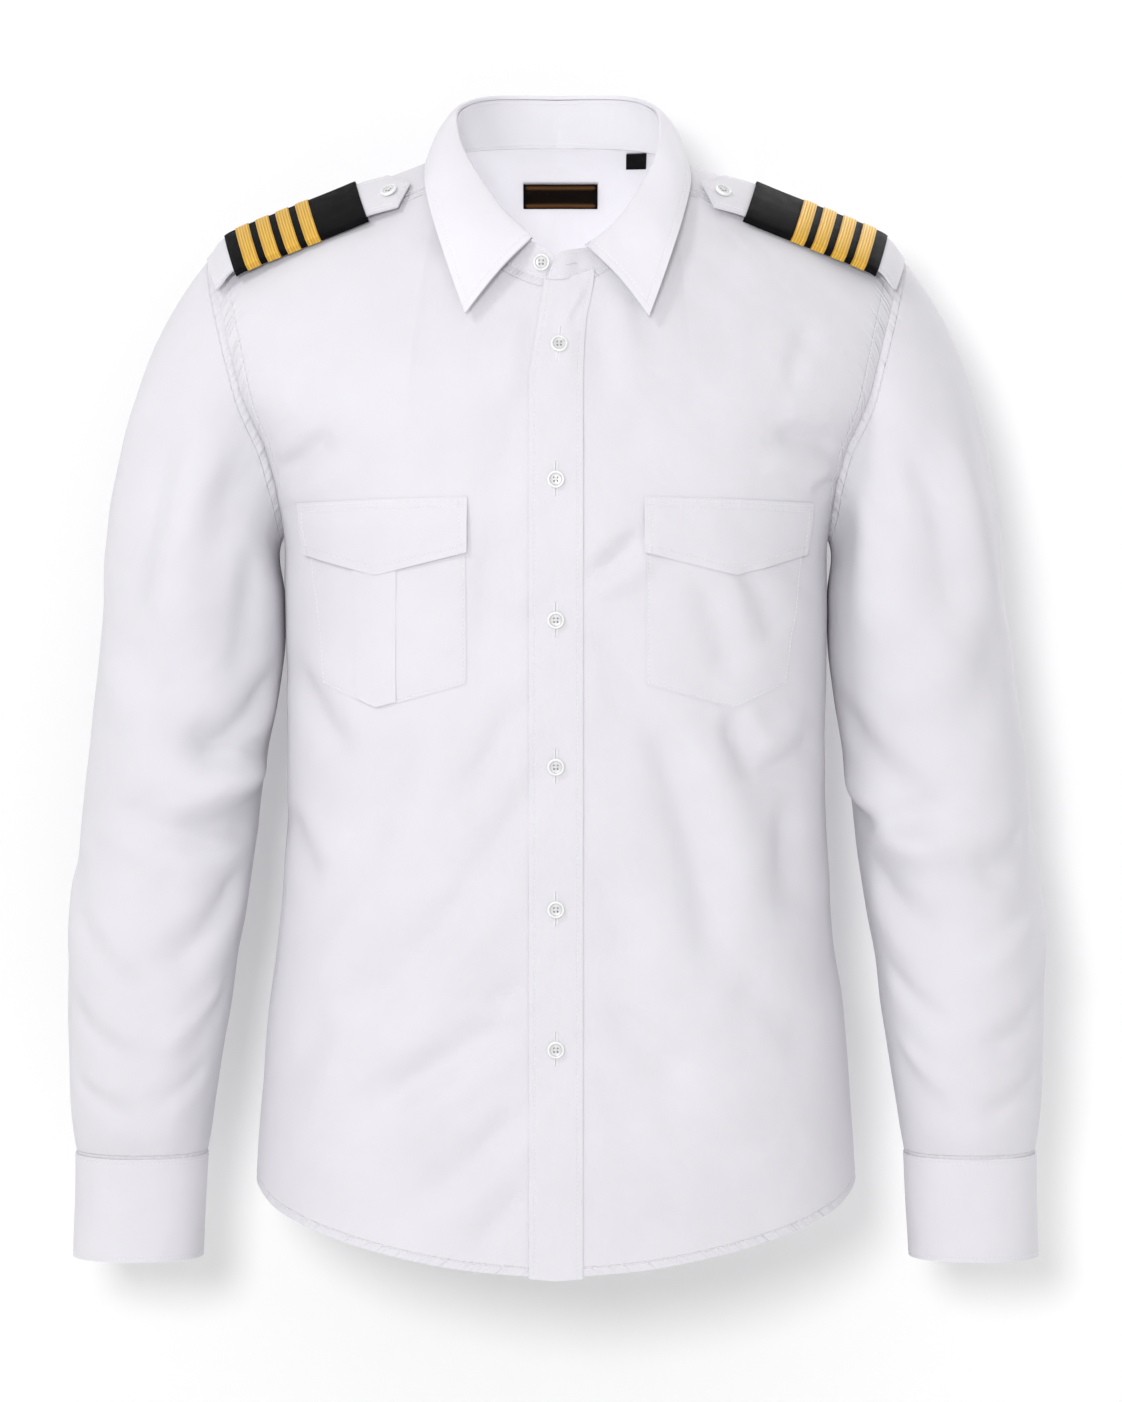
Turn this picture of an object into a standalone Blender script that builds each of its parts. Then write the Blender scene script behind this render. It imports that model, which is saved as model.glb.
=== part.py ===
"""Pilot shirt: white long-sleeved uniform shirt with shoulder boards, in the shape it takes when worn.

World frame, in metres: X points to the wearer's left, Y to the back, Z up. The origin is between the two
neck points, at the height where the shoulder line meets the collar. The tables below are in millimetres.
"""

import math

import bpy
import numpy as np
from mathutils import Matrix, Vector

MM = 0.001

# Cloth
WALL = 1.2
DOUBLE_WALL = 1.6
SEAM_GAP = 0.3
LAID_ON = 2.2

# Main heights
ARMPIT_HEIGHT = -254.0
CUFF_SEAM_HEIGHT = -668.5
BICEPS_HEIGHT = -300.0

# Body: roundness of the sections, ridge of the shoulders
ROUNDNESS = 2.4
RIDGE_DEPTH = 5.0
FRONT_ROLL = 200.0
BACK_ROLL = 140.0

# Front closing
PLACKET_HALF_WIDTH = 17.5
RIGHT_FRONT_EDGE = 12.0
LEFT_FRONT_EDGE = 12.7
BUTTON_RADIUS = 5.7
BUTTON_THICKNESS = 2.4

# Yoke seams: front one as an angle over the shoulder, back one as a height
YOKE_FRONT_ANGLE = -0.428
YOKE_BACK_CENTRE = -112.0
YOKE_BACK_SIDE = -122.0

# Shoulder boards
STRAP_CENTRE_ANGLE = -0.27
STRAP_HALF_WIDTH = 22.0
SLIDER_HALF_WIDTH = 25.3
BAR_HALF_WIDTH = 24.7

# Direction across a shoulder board to the back, and the one along it to the outside
BOARD_ACROSS = (0.18, 0.852, 0.491)
BOARD_ALONG = (0.915, 0.089, -0.394)

# Body sections: height, half width, front depth, back depth
BODY = (
    (-770, 205, 136, 118),
    (-734, 203.5, 135, 117),
    (-684, 201, 133, 115),
    (-631, 197.5, 131, 112),
    (-578, 193, 130, 107),
    (-525, 186, 129, 102),
    (-485, 182.5, 128, 100),
    (-445, 180, 129, 101),
    (-400, 179, 131, 105),
    (-340, 179, 133.5, 112),
    (-290, 179.5, 134, 118),
    (-254, 181, 133.5, 122),
    (-229, 187, 132, 124),
    (-216, 192, 131, 124.5),
    (-195, 200, 130, 125),
    (-183, 208, 129, 124.5),
    (-164, 222, 126, 123),
    (-144, 231, 123, 121),
    (-118, 239, 117, 118),
    (-91, 244, 112, 115),
    (-40, 246, 106, 112),
    (40, 246, 104, 110),
)

# Shoulder ridge: distance from the middle, height
RIDGE = (
    (0, 22),
    (30, 17),
    (55, 9),
    (70, 1.5),
    (84, -6),
    (100, -12.5),
    (134, -24.5),
    (180, -43),
    (210, -57),
    (232, -71),
)

# Armhole edge: height, distance from the middle
ARMHOLE = (
    (-254, 181),
    (-240, 182.6),
    (-229, 184),
    (-216, 187),
    (-195, 192.5),
    (-183, 198),
    (-164, 206),
    (-144, 211.5),
    (-118, 218.5),
    (-91, 225),
    (-80, 227.2),
    (-62, 229.5),
)

# Hem: share of the half width, height at the front, height at the back
HEM = (
    (0.0, -734, -743),
    (0.34, -728, -737),
    (0.5, -722.5, -730),
    (0.67, -715, -720),
    (0.84, -705, -708.5),
    (0.945, -695.5, -697),
    (1.0, -686, -686),
)

# Neckline on the fronts: distance from the middle, height
NECK_FRONT = (
    (-20, -82),
    (-12, -84.5),
    (0, -86),
    (12, -84.5),
    (24, -80),
    (38, -72),
    (52, -60),
    (64, -45),
    (72, -32),
    (76, -21.2),
)

# Neckline on the yoke, from the middle of the back: distance from the middle, angle over the shoulder
NECK_YOKE = (
    (0, 0.50),
    (30, 0.43),
    (55, 0.31),
    (70, 0.17),
    (76.5, 0.0),
    (77.5, -0.22),
    (76, YOKE_FRONT_ANGLE),
)

# Top edge of the collar stand, half way round from the back: x, y, z
STAND_TOP = (
    (0, 52, 36.5),
    (24, 50, 36.8),
    (44, 41, 36),
    (60, 20, 31.5),
    (66.5, 0, 23.5),
    (65.5, -17, 10),
    (60, -36, -5),
    (48, -58, -25),
    (34, -77, -44),
    (17, -91, -60.5),
    (9.5, -95.5, -65),
    (2.5, -98, -69.5),
    (-1.5, -98.5, -75.5),
    (-5.2, -98.5, -83),
)

# Collar leaf, half way round from the back: x, y, z of its fold, then x, y, z of its outer edge
LEAF = (
    (0, 52.5, 38.6, 0, 79, -5),
    (24, 50.5, 38.8, 30, 76, -5.5),
    (44, 41.5, 38, 55, 64, -6),
    (60.5, 20.5, 33.5, 73, 41, -5.5),
    (67.9, 0, 26.4, 82, 14, -2.5),
    (67.2, -16.8, 13.2, 85.5, -12, -6),
    (62, -36.8, -1.8, 86.5, -40, -20),
    (50, -59.2, -21.8, 82, -66, -40),
    (35.6, -78.8, -41.2, 75, -89, -63),
    (25, -87.5, -51.3, 67, -102, -86),
    (15.5, -96.5, -59.3, 58.5, -112, -108.5),
)

# Sleeve sections: height, centre x, centre y, half width, half depth
SLEEVE = (
    (-300, 242.5, 3, 57.5, 71),
    (-340, 246, 5, 59.8, 68.5),
    (-371, 249.5, 6, 60.6, 66),
    (-407, 254.8, 6, 59.8, 63),
    (-438, 258, 4.5, 59.6, 61),
    (-470, 261.5, 2, 58.8, 59.5),
    (-504, 265.5, -1, 58, 58),
    (-541, 270.5, -4, 56, 56),
    (-572, 272.7, -6, 54, 54),
    (-604, 275, -8, 51.5, 51.5),
    (-638, 277, -9.5, 48.3, 47.5),
    (-656, 277.4, -10, 45.8, 44),
    (-668.5, 277.6, -10.5, 43.6, 39),
)

# Cuff sections: height, centre x, centre y, half width, half depth
CUFF = (
    (-668.9, 277.8, -10.5, 44.6, 38.5),
    (-703, 279.2, -11, 44.2, 37.5),
    (-738, 280.6, -11.5, 43.8, 37),
)

# Largest folds of a sleeve: height, angle round it from the outside to the front, half height,
# half angle, depth, fall of the fold along the angle
SLEEVE_FOLDS = (
    (-405, 2.75, 13, 1.1, 5.0, -14),
    (-440, 2.2, 12, 0.9, 3.0, -20),
    (-520, 0.9, 12, 0.8, 2.5, 16),
    (-585, 1.9, 12, 0.9, 2.6, -16),
    (-632, 1.2, 10, 0.8, 2.2, 14),
)

# Placket buttons: height
PLACKET_BUTTONS = (-129, -215.5, -306, -401, -494, -585)

# Cuff closing: angle where the under end starts, overlap and step out of the upper end
CUFF_START = -1.15
CUFF_OVERLAP = 0.42
CUFF_STEP = 2.6

# Pocket outline on the front: distance from the middle, height
POCKET_TOP_HEIGHT = -243.0
POCKET_INNER = 58.2
POCKET_OUTER_TOP = 164.0
POCKET_OUTER_FOOT = 150.5
POCKET_FOOT_INNER = -347.5
POCKET_FOOT_TIP = (116.0, -364.5)
POCKET_FOOT_OUTER = -349.5

# Collar: step of the lapped end of the stand, bulge of the leaf, place of the stand button
STAND_LAP = 2.3
LEAF_BULGE = 4.0
STAND_BUTTON_X = -9.4

# Pocket flap: share of its width from the inner end, distance from the middle, top height, foot height
FLAP = (
    (0.0, 57.0, -226.5, -262.5),
    (0.54, 118.0, -228.6, -278.0),
    (1.0, 168.5, -231.8, -266.0),
)

# Box pleat on the wearer's right pocket: inner edge, outer edge at the top and at the foot
PLEAT_INNER = 103.0
PLEAT_OUTER_TOP = 132.5
PLEAT_OUTER_FOOT = 128.0

# Rank bars on the slider: distance from the slider's outer end
BAR_STARTS = (8.5, 23.5, 38.5, 53.5)
BAR_WIDTH = 10.0
SLIDER_LENGTH = 100.0
SLIDER_OUTER = 216.0
STRAP_OUTER = 226.5
STRAP_SHOULDER = 109.0
STRAP_POINT = 97.5
EPAULETTE_BUTTON = 110.7
ALONG_SHOULDER = 0.92
SLIDER_LIFT = (0.6, 5.8)
BAR_WALL = 0.9
LABEL_WALL = 1.0

# Upper face of the strap over the base line of its board: distance from the middle, height
BOARD_LIFT = (
    (97, 2.6),
    (106, 3.2),
    (116, 3.55),
    (124, 4.0),
    (150, 4.0),
    (200, 4.0),
    (216, 3.95),
    (222, 2.9),
    (229, 2.5),
)

# Base line of a board, straight inside the slider: distance from the middle, height over the cloth,
# radius of the board's bow across
BOARD_BASE = (
    (97, 1.5, 90),
    (109, 1.8, 110),
    (124, 1.7, 140),
    (135, 0.9, 140),
    (150, 0.3, 140),
    (165, 0.2, 140),
    (180, 0.4, 140),
    (195, 0.9, 140),
    (205, 1.3, 140),
    (216, 1.9, 140),
    (222, 1.0, 80),
    (229, 0.2, 50),
)

# Edges of the placket under the collar: height, sideways shift of the right and of the left edge
PLACKET_TURN = (
    (-84, 10.2, 7.5),
    (-99, 8.4, 5.0),
    (-108, 6.8, 2.9),
    (-118, 5.2, 1.6),
    (-131, 3.0, 0.8),
    (-150, 0, 0),
)


# ---------------------------------------------------------------- curves and surfaces


def curve(at, knots, values):
    """Values at the places asked for, on a smooth curve through the knots."""
    knots = np.asarray(knots, float)
    values = np.asarray(values, float)
    at = np.clip(np.asarray(at, float), knots[0], knots[-1])
    slopes = np.gradient(values, knots)
    i = np.clip(np.searchsorted(knots, at) - 1, 0, len(knots) - 2)
    step = knots[i + 1] - knots[i]
    t = (at - knots[i]) / step
    from_start = (1 + 2 * t) * (1 - t) ** 2 * values[i] + t * (1 - t) ** 2 * step * slopes[i]
    from_end = t * t * (3 - 2 * t) * values[i + 1] + t * t * (t - 1) * step * slopes[i + 1]
    return from_start + from_end


def column(table, index):
    return [row[index] for row in table]


def look_up(table, key, index):
    """One column of a table at a key in its first column, which may run up or down."""
    rows = sorted(table)
    return curve(key, column(rows, 0), column(rows, index))


def path(points, share):
    """Points at a share of the length of a smooth path."""
    points = np.asarray(points, float)
    steps = np.linalg.norm(np.diff(points, axis=0), axis=1)
    length = np.concatenate([[0], np.cumsum(steps)]) / steps.sum()
    return np.stack([curve(share, length, points[:, k]) for k in range(points.shape[1])], axis=-1)


def ridge_height(x):
    return look_up(RIDGE, np.abs(x), 1)


def section_depth(x, z, index):
    """Depth of the body at one place, before the roll over the shoulder."""
    half_width = look_up(BODY, z, 1)
    inside = np.clip(1 - (np.abs(x) / half_width) ** ROUNDNESS, 0, 1)
    return look_up(BODY, z, index) * inside ** (1 / ROUNDNESS)


def front_depth(x, z):
    """Y of the outside of the front at a place given by x and z."""
    drop = np.clip((ridge_height(x) - z) / FRONT_ROLL, 0, 1)
    roll = np.sqrt(1 - (1 - drop) ** 2)
    return RIDGE_DEPTH - (section_depth(x, z, 2) + RIDGE_DEPTH) * roll


def back_depth(x, z):
    """Y of the outside of the back at a place given by x and z."""
    drop = np.clip((ridge_height(x) - z) / BACK_ROLL, 0, 1)
    roll = np.sqrt(1 - (1 - drop) ** 2)
    return RIDGE_DEPTH + (section_depth(x, z, 3) - RIDGE_DEPTH) * roll


def shoulder_point(x, angle):
    """Point of the shoulder at an angle over the ridge: negative in front, positive behind."""
    x, angle = np.broadcast_arrays(np.asarray(x, float), np.asarray(angle, float))
    roll = np.where(angle < 0, FRONT_ROLL, BACK_ROLL)
    z = ridge_height(x) - roll * (1 - np.cos(angle))
    front = -(section_depth(x, z, 2) + RIDGE_DEPTH)
    back = section_depth(x, z, 3) - RIDGE_DEPTH
    y = RIDGE_DEPTH + np.where(angle < 0, front, back) * np.abs(np.sin(angle))
    return np.stack([x, y, z], axis=-1)


def back_angle(x, z):
    """Angle over the ridge at which the back has a given height."""
    return np.arccos(np.clip(1 - (ridge_height(x) - z) / BACK_ROLL, 0, 1))


def on_front(x, z, lift=0.0):
    """Points on the front, moved out by a given distance square to the cloth."""
    x, z = np.broadcast_arrays(np.asarray(x, float), np.asarray(z, float))
    y = front_depth(x, z)
    slope_x = (front_depth(x + 0.5, z) - front_depth(x - 0.5, z))
    slope_z = (front_depth(x, z + 0.5) - front_depth(x, z - 0.5))
    normal = np.stack([slope_x, -np.ones_like(y), slope_z], axis=-1)
    normal /= np.linalg.norm(normal, axis=-1, keepdims=True)
    return np.stack([x, y, z], axis=-1) + normal * lift


def strap_point(side, x, across, lift):
    """Point on a shoulder board: across is in millimetres, to the back when positive."""
    x, across, lift = np.broadcast_arrays(np.asarray(x, float), across, lift)
    over = np.array(BOARD_ACROSS)
    normal = np.cross(BOARD_ALONG, over)
    drop = across**2 / (2 * look_up(BOARD_BASE, x, 2))
    height = lift + look_up(BOARD_BASE, x, 1) - drop
    point = shoulder_point(x, STRAP_CENTRE_ANGLE) + over * across[..., None] + normal * height[..., None]
    point[..., 0] *= side
    return point


def armhole_loop(count):
    """Points of the armhole on the wearer's left, from the shoulder down the front and up the back."""
    turn = np.linspace(0, math.pi, 90)
    low, high = ARMPIT_HEIGHT, -68.5
    z = high + (low - high) * (1 - np.cos(turn)) / 2
    x = look_up(ARMHOLE, z, 1)
    front = np.stack([x, front_depth(x, z), z], axis=-1)
    back = np.stack([x, back_depth(x, z), z], axis=-1)[::-1]
    loop = np.concatenate([front, back[1:]])
    return path(loop, np.arange(count) / count)


def ring(section, angle):
    """Points of a rounded section: the angle runs from the outside to the front."""
    height, x, y, half_width, half_depth = section
    power = 2 / 2.2
    across = np.sign(np.cos(angle)) * np.abs(np.cos(angle)) ** power
    ahead = np.sign(np.sin(angle)) * np.abs(np.sin(angle)) ** power
    return np.stack([x + half_width * across, y - half_depth * ahead, height + 0 * across], axis=-1)


# ---------------------------------------------------------------- objects


def clear_scene():
    for obj in list(bpy.data.objects):
        bpy.data.objects.remove(obj)


def make_material(name, colour, roughness, metallic=0.0):
    material = bpy.data.materials.new(name)
    material.use_nodes = True
    shader = material.node_tree.nodes["Principled BSDF"]
    shader.inputs["Base Color"].default_value = (*colour, 1)
    shader.inputs["Roughness"].default_value = roughness
    shader.inputs["Metallic"].default_value = metallic
    return material


def add_object(name, points, faces, material, shirt, smooth=True):
    mesh = bpy.data.meshes.new(name)
    mesh.from_pydata([tuple(point) for point in np.asarray(points) * MM], [], faces)
    mesh.materials.append(material)
    mesh.update()
    for polygon in mesh.polygons:
        polygon.use_smooth = smooth
    obj = bpy.data.objects.new(name, mesh)
    shirt.objects.link(obj)
    return obj


def grid_faces(rows, columns, closed, flip):
    faces = []
    last = columns if closed else columns - 1
    for row in range(rows - 1):
        for col in range(last):
            after = (col + 1) % columns
            face = (row * columns + col, row * columns + after)
            face += ((row + 1) * columns + after, (row + 1) * columns + col)
            faces.append(face[::-1] if flip else face)
    return faces


def add_cloth(name, grid, material, shirt, wall=WALL, closed=False, flip=False):
    """A piece of cloth: an open surface through a grid of points, given its wall to the inside."""
    rows, columns = grid.shape[:2]
    faces = grid_faces(rows, columns, closed, flip)
    obj = add_object(name, grid.reshape(-1, 3), faces, material, shirt)
    solidify = obj.modifiers.new("Wall", "SOLIDIFY")
    solidify.thickness = wall * MM
    solidify.offset = -1
    solidify.use_rim = True
    return obj


# ---------------------------------------------------------------- body


def edge_share(count, gap, length):
    """Shares from 0 to 1, drawn in at both ends by half of the gap between two pieces."""
    share = np.linspace(0, 1, count)
    inset = gap / 2 / length
    return inset + share * (1 - 2 * inset)


def body_turn(x, z):
    """Angle round a body section of a place, from the middle to the side seam."""
    ratio = np.clip(x / look_up(BODY, z, 1), -1, 1)
    return np.arcsin(np.sign(ratio) * np.abs(ratio) ** (ROUNDNESS / 2))


def spread(turn):
    """Share of the half width at an angle round a body section."""
    return np.sign(np.sin(turn)) * np.abs(np.sin(turn)) ** (2 / ROUNDNESS)


def front_grid(side, inner):
    """One front, from the hem up to the neckline and the yoke seam."""
    share = edge_share(17, SEAM_GAP, 230)
    start = body_turn(inner, -400.0)
    turn = start + (math.pi / 2 - start) * share
    width = spread(turn)
    rows = []
    for up in edge_share(12, SEAM_GAP, 430)[:-1]:
        z = look_up(HEM, np.abs(width), 1) * (1 - up) + ARMPIT_HEIGHT * up
        x = inner + (look_up(BODY, z, 1) * width[-1] - inner) * (width - width[0]) / (width[-1] - width[0])
        depth = section_depth(x, z, 2)
        rows.append(np.stack([x, -depth, z], axis=-1))
    top_edge = 226.4 - SEAM_GAP
    top_x = inner + (top_edge - inner) * share
    on_neck = top_x < 76
    top_z = np.where(on_neck, look_up(NECK_FRONT, top_x, 1), ridge_height(top_x) - 18)
    for up in np.linspace(0, 1, 9):
        even = (width - width[0]) / (width[-1] - width[0]) * (1 - up) + share * up
        z = ARMPIT_HEIGHT + (top_z - SEAM_GAP - ARMPIT_HEIGHT) * up
        edge = look_up(ARMHOLE, z[-1], 1) - SEAM_GAP
        x = inner + (edge - inner) * even
        rows.append(np.stack([x, front_depth(x, z), z], axis=-1))
    grid = np.array(rows)
    grid[..., 0] *= side
    return grid


def yoke_seam_height(x):
    """Height of the seam between back and yoke."""
    return YOKE_BACK_CENTRE + (YOKE_BACK_SIDE - YOKE_BACK_CENTRE) * (x / 216) ** 2


def back_grid():
    """The back below the yoke, from the hem up, right across."""
    share = edge_share(25, SEAM_GAP, 520) * 2 - 1
    width = spread(share * math.pi / 2)
    rows = []
    for up in edge_share(11, SEAM_GAP, 430)[:-1]:
        z = look_up(HEM, np.abs(width), 2) * (1 - up) + ARMPIT_HEIGHT * up
        x = look_up(BODY, z, 1) * width
        rows.append(np.stack([x, section_depth(x, z, 3), z], axis=-1))
    for up in np.linspace(0, 1, 8):
        top = yoke_seam_height(share * 216)
        z = ARMPIT_HEIGHT + (top - SEAM_GAP - ARMPIT_HEIGHT) * up
        edge = look_up(ARMHOLE, z[-1], 1) - SEAM_GAP
        x = edge * (width * (1 - up) + share * up)
        rows.append(np.stack([x, back_depth(x, z), z], axis=-1))
    return np.array(rows)


def armhole_reach(angle):
    """Distance from the middle at which the shoulder at this angle meets the armhole."""
    reach = np.full_like(np.asarray(angle, float), 226.0)
    for _ in range(40):
        reach = (reach + look_up(ARMHOLE, shoulder_point(reach, angle)[..., 2], 1)) / 2
    return reach


def yoke_edge(share):
    """Upper edge of half of the yoke as x and angle: round the neck, then along the front seam."""
    at_neck = 9 / 14
    round_neck = path(np.array(NECK_YOKE) * (1, 60), np.clip(share / at_neck, 0, 1)) / (1, 60)
    out = np.clip((share - at_neck) / (1 - at_neck), 0, 1)
    reach = armhole_reach(YOKE_FRONT_ANGLE) - SEAM_GAP
    x = np.where(share <= at_neck, round_neck[:, 0], 76 + (reach - 76) * out)
    angle = np.where(share <= at_neck, round_neck[:, 1], YOKE_FRONT_ANGLE)
    return x, angle


def yoke_grid():
    """The yoke, from its back seam over the shoulders to its front seams and the neck."""
    share = np.linspace(0, 1, 15)
    top_x, top_angle = yoke_edge(share)
    foot_edge = look_up(ARMHOLE, YOKE_BACK_SIDE, 1) - SEAM_GAP
    foot_x = foot_edge * share
    foot_angle = back_angle(foot_x, yoke_seam_height(foot_x) + SEAM_GAP / 2)
    rows = []
    for up in np.linspace(0, 1, 10):
        x = foot_x * (1 - up) + top_x * up
        angle = foot_angle * (1 - up) + top_angle * up
        x[-1] = armhole_reach(angle[-1]) - SEAM_GAP
        half = shoulder_point(x, angle)
        rows.append(np.concatenate([half[:0:-1] * (-1, 1, 1), half]))
    return np.array(rows)


def placket_x(across, z):
    """Sideways place of a point of the placket, which turns to the wearer's left under the collar."""
    share = (across / PLACKET_HALF_WIDTH + 1) / 2
    turn_right = look_up(PLACKET_TURN, z, 1)
    turn_left = look_up(PLACKET_TURN, z, 2)
    return across + turn_right + (turn_left - turn_right) * share


def placket_grid():
    """The band down the front closing, laid on both fronts."""
    across = np.array([-PLACKET_HALF_WIDTH, -6, 6, PLACKET_HALF_WIDTH])
    rows = []
    for up in (*np.linspace(0, 0.87, 21), 0.91, 0.94, 0.97, 1.0):
        foot = look_up(HEM, np.abs(across) / 203, 1) - 1.5
        top = look_up(NECK_FRONT, placket_x(across, PLACKET_TURN[0][0]), 1) - SEAM_GAP
        z = foot + (top - foot) * up
        rows.append(on_front(placket_x(across, z), z, LAID_ON))
    return np.array(rows)


# ---------------------------------------------------------------- sleeves


def fold_depth(height, angle):
    """How far the largest folds draw the sleeve in at a place."""
    depth = np.zeros_like(angle)
    for at, turn, half_height, half_angle, deep, fall in SLEEVE_FOLDS:
        along = (angle - turn + math.pi) % (2 * math.pi) - math.pi
        off = (height - at - fall * along) / half_height
        depth = depth + deep * np.exp(-(off**2) - (along / half_angle) ** 2)
    return depth


def sleeve_grid(side):
    """One sleeve, from the armhole down to the cuff seam."""
    columns = 20
    angle = np.arange(columns) / columns * 2 * math.pi
    start = armhole_loop(columns)
    biceps = ring([look_up(SLEEVE, BICEPS_HEIGHT, k) for k in range(5)], angle)
    outward = (1 + np.cos(angle)) / 2
    leave = np.stack([0.25 + 0.4 * outward, -0.22 * np.sin(angle), -0.35 - 0.4 * outward], axis=-1)
    leave /= np.linalg.norm(leave, axis=-1, keepdims=True)
    start = start + leave * 1.0
    gap = np.linalg.norm(biceps - start, axis=-1, keepdims=True)
    below = np.array([0.05, 0, -1.0])
    rows = []
    for t in np.linspace(0, 1, 7):
        point = (1 + 2 * t) * (1 - t) ** 2 * start + t * t * (3 - 2 * t) * biceps
        point = point + t * (1 - t) ** 2 * leave * gap * 1.1 + t * t * (t - 1) * below * gap
        rows.append(point)
    for height in np.linspace(BICEPS_HEIGHT, CUFF_SEAM_HEIGHT, 17)[1:]:
        section = [height, *[look_up(SLEEVE, height, k) for k in range(1, 5)]]
        points = ring(section, angle)
        centre = np.array([section[1], section[2], height])
        inward = centre - points
        inward /= np.linalg.norm(inward, axis=-1, keepdims=True)
        rows.append(points + inward * fold_depth(height, angle)[:, None])
    grid = np.array(rows)
    grid[..., 0] *= side
    return grid


def wrapped_ring(sections, start, overlap, step, count):
    """A band round a section whose outer end lies over its inner end."""
    angle = start + np.linspace(0, 2 * math.pi + overlap, count)
    past = np.clip((angle - start - 2 * math.pi + 0.25) / 0.25, 0, 1)
    lift = step * past * past * (3 - 2 * past)
    rows = []
    for section in sections:
        points = ring(section, angle)
        out = points - np.array([section[1], section[2], section[0]])
        out /= np.linalg.norm(out, axis=-1, keepdims=True)
        rows.append(points + out * lift[:, None])
    return np.array(rows)


def cuff_grid(side):
    """One cuff, its overlap at the back of the outside."""
    heights = np.linspace(CUFF[0][0], CUFF[-1][0], 3)
    sections = [[height, *[look_up(CUFF, height, k) for k in range(1, 5)]] for height in heights]
    grid = wrapped_ring(sections, CUFF_START, CUFF_OVERLAP, CUFF_STEP, 27)
    grid[..., 0] *= side
    return grid


def sleeve_placket_grid(side):
    """The bound slit above the cuff, laid on the back of the sleeve."""
    rows = []
    for height in np.linspace(-666.5, -525, 9):
        section = [height, *[look_up(SLEEVE, height, k) for k in range(1, 5)]]
        radius = section[4]
        middle = CUFF_START + CUFF_OVERLAP / 2
        angle = middle + np.array([-11, 0, 11]) / radius
        points = ring(section, angle)
        out = points - np.array([section[1], section[2], height])
        out /= np.linalg.norm(out, axis=-1, keepdims=True)
        inward = fold_depth(height, angle)[:, None]
        rows.append(points + out * (LAID_ON - 0.2 - inward))
    grid = np.array(rows)
    grid[..., 0] *= side
    return grid


# ---------------------------------------------------------------- collar


def neck_path():
    """Edge of the body round the neck, from the middle of the back to just past the front middle."""
    points = [shoulder_point(x, angle) for x, angle in NECK_YOKE]
    for x in (72, 64, 52, 38, 24, 12, 0, -6.8):
        z = look_up(NECK_FRONT, x, 1)
        points.append(np.array([x, front_depth(x, z), z]))
    return np.array(points)


def stand_half(share, lapped):
    """Half of the collar stand as rows from its seam up to the fold."""
    low = path(neck_path(), share)
    high = path(STAND_TOP, share)
    low = low + (0, 0, 1.4)
    rows = np.array([low + (high - low) * up for up in np.linspace(0, 1, 4)])
    if lapped:
        over = np.clip((14 - rows[..., 0]) / 8, 0, 1) * (rows[..., 1] < -60)
        rows[..., 1] -= STAND_LAP * over * over * (3 - 2 * over)
    return rows


def stand_grid():
    """The collar stand, from the wearer's right end round the back to the lapped left end."""
    share = np.linspace(0, 1, 24)
    right = stand_half(share, False)[:, ::-1] * (-1, 1, 1)
    left = stand_half(share, True)[:, 1:]
    return np.concatenate([right, left], axis=1)


def leaf_half(share):
    """Half of the collar leaf as rows from inside its fold to its outer edge."""
    fold = path(column_block(LEAF, 1), share)
    edge = path(column_block(LEAF, 4), share)
    along = np.gradient(fold, axis=0)
    out = np.cross(along, (0, 0, 1))
    out /= np.linalg.norm(out, axis=-1, keepdims=True)
    out *= np.sign((out * (edge - fold)).sum(axis=-1).mean())
    square = np.cross(along, edge - fold)
    square /= np.linalg.norm(square, axis=-1, keepdims=True)
    square *= np.where((square * out).sum(axis=-1, keepdims=True) < 0, -1, 1)
    rows = [fold - out * 1.7, fold]
    for down in (0.08, 0.28, 0.52, 0.76, 1.0):
        bulge = LEAF_BULGE * math.sin(math.pi * min(1.0, down * 0.92 + 0.06))
        rows.append(fold + (edge - fold) * down + square * bulge)
    return np.array(rows)


def column_block(table, first):
    return [row[first - 1:first + 2] for row in table]


def leaf_grid():
    """The collar leaf, from one point round the back to the other."""
    share = np.linspace(0, 1, 22)
    left = leaf_half(share)
    return np.concatenate([left[:, :0:-1] * (-1, 1, 1), left], axis=1)


# ---------------------------------------------------------------- pockets, boards, labels


def pocket_grid(side):
    share = np.array([0, 0.16, 0.32, 0.48, 0.626, 0.75, 0.88, 1])
    tip_share = (POCKET_FOOT_TIP[0] - POCKET_INNER) / (POCKET_OUTER_FOOT - POCKET_INNER)
    feet = (POCKET_FOOT_INNER, POCKET_FOOT_TIP[1], POCKET_FOOT_OUTER)
    foot = np.interp(share, (0, tip_share, 1), feet)
    rows = []
    for up in np.linspace(0, 1, 9):
        outer = POCKET_OUTER_FOOT + (POCKET_OUTER_TOP - POCKET_OUTER_FOOT) * up
        x = POCKET_INNER + (outer - POCKET_INNER) * share
        z = foot + (POCKET_TOP_HEIGHT - foot) * up
        rows.append(on_front(x, z, LAID_ON))
    grid = np.array(rows)
    grid[..., 0] *= side
    return grid


def pleat_grid():
    rows = []
    for up in np.linspace(0, 1, 9):
        outer = PLEAT_OUTER_FOOT + (PLEAT_OUTER_TOP - PLEAT_OUTER_FOOT) * up
        x = np.array([PLEAT_INNER, (PLEAT_INNER + outer) / 2, outer])
        foot = np.array([-360.5, -362.0, -359.0])
        z = foot + (POCKET_TOP_HEIGHT - 1 - foot) * up
        rows.append(on_front(x, z, 2 * LAID_ON))
    grid = np.array(rows)
    grid[..., 0] *= -1
    return grid


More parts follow.
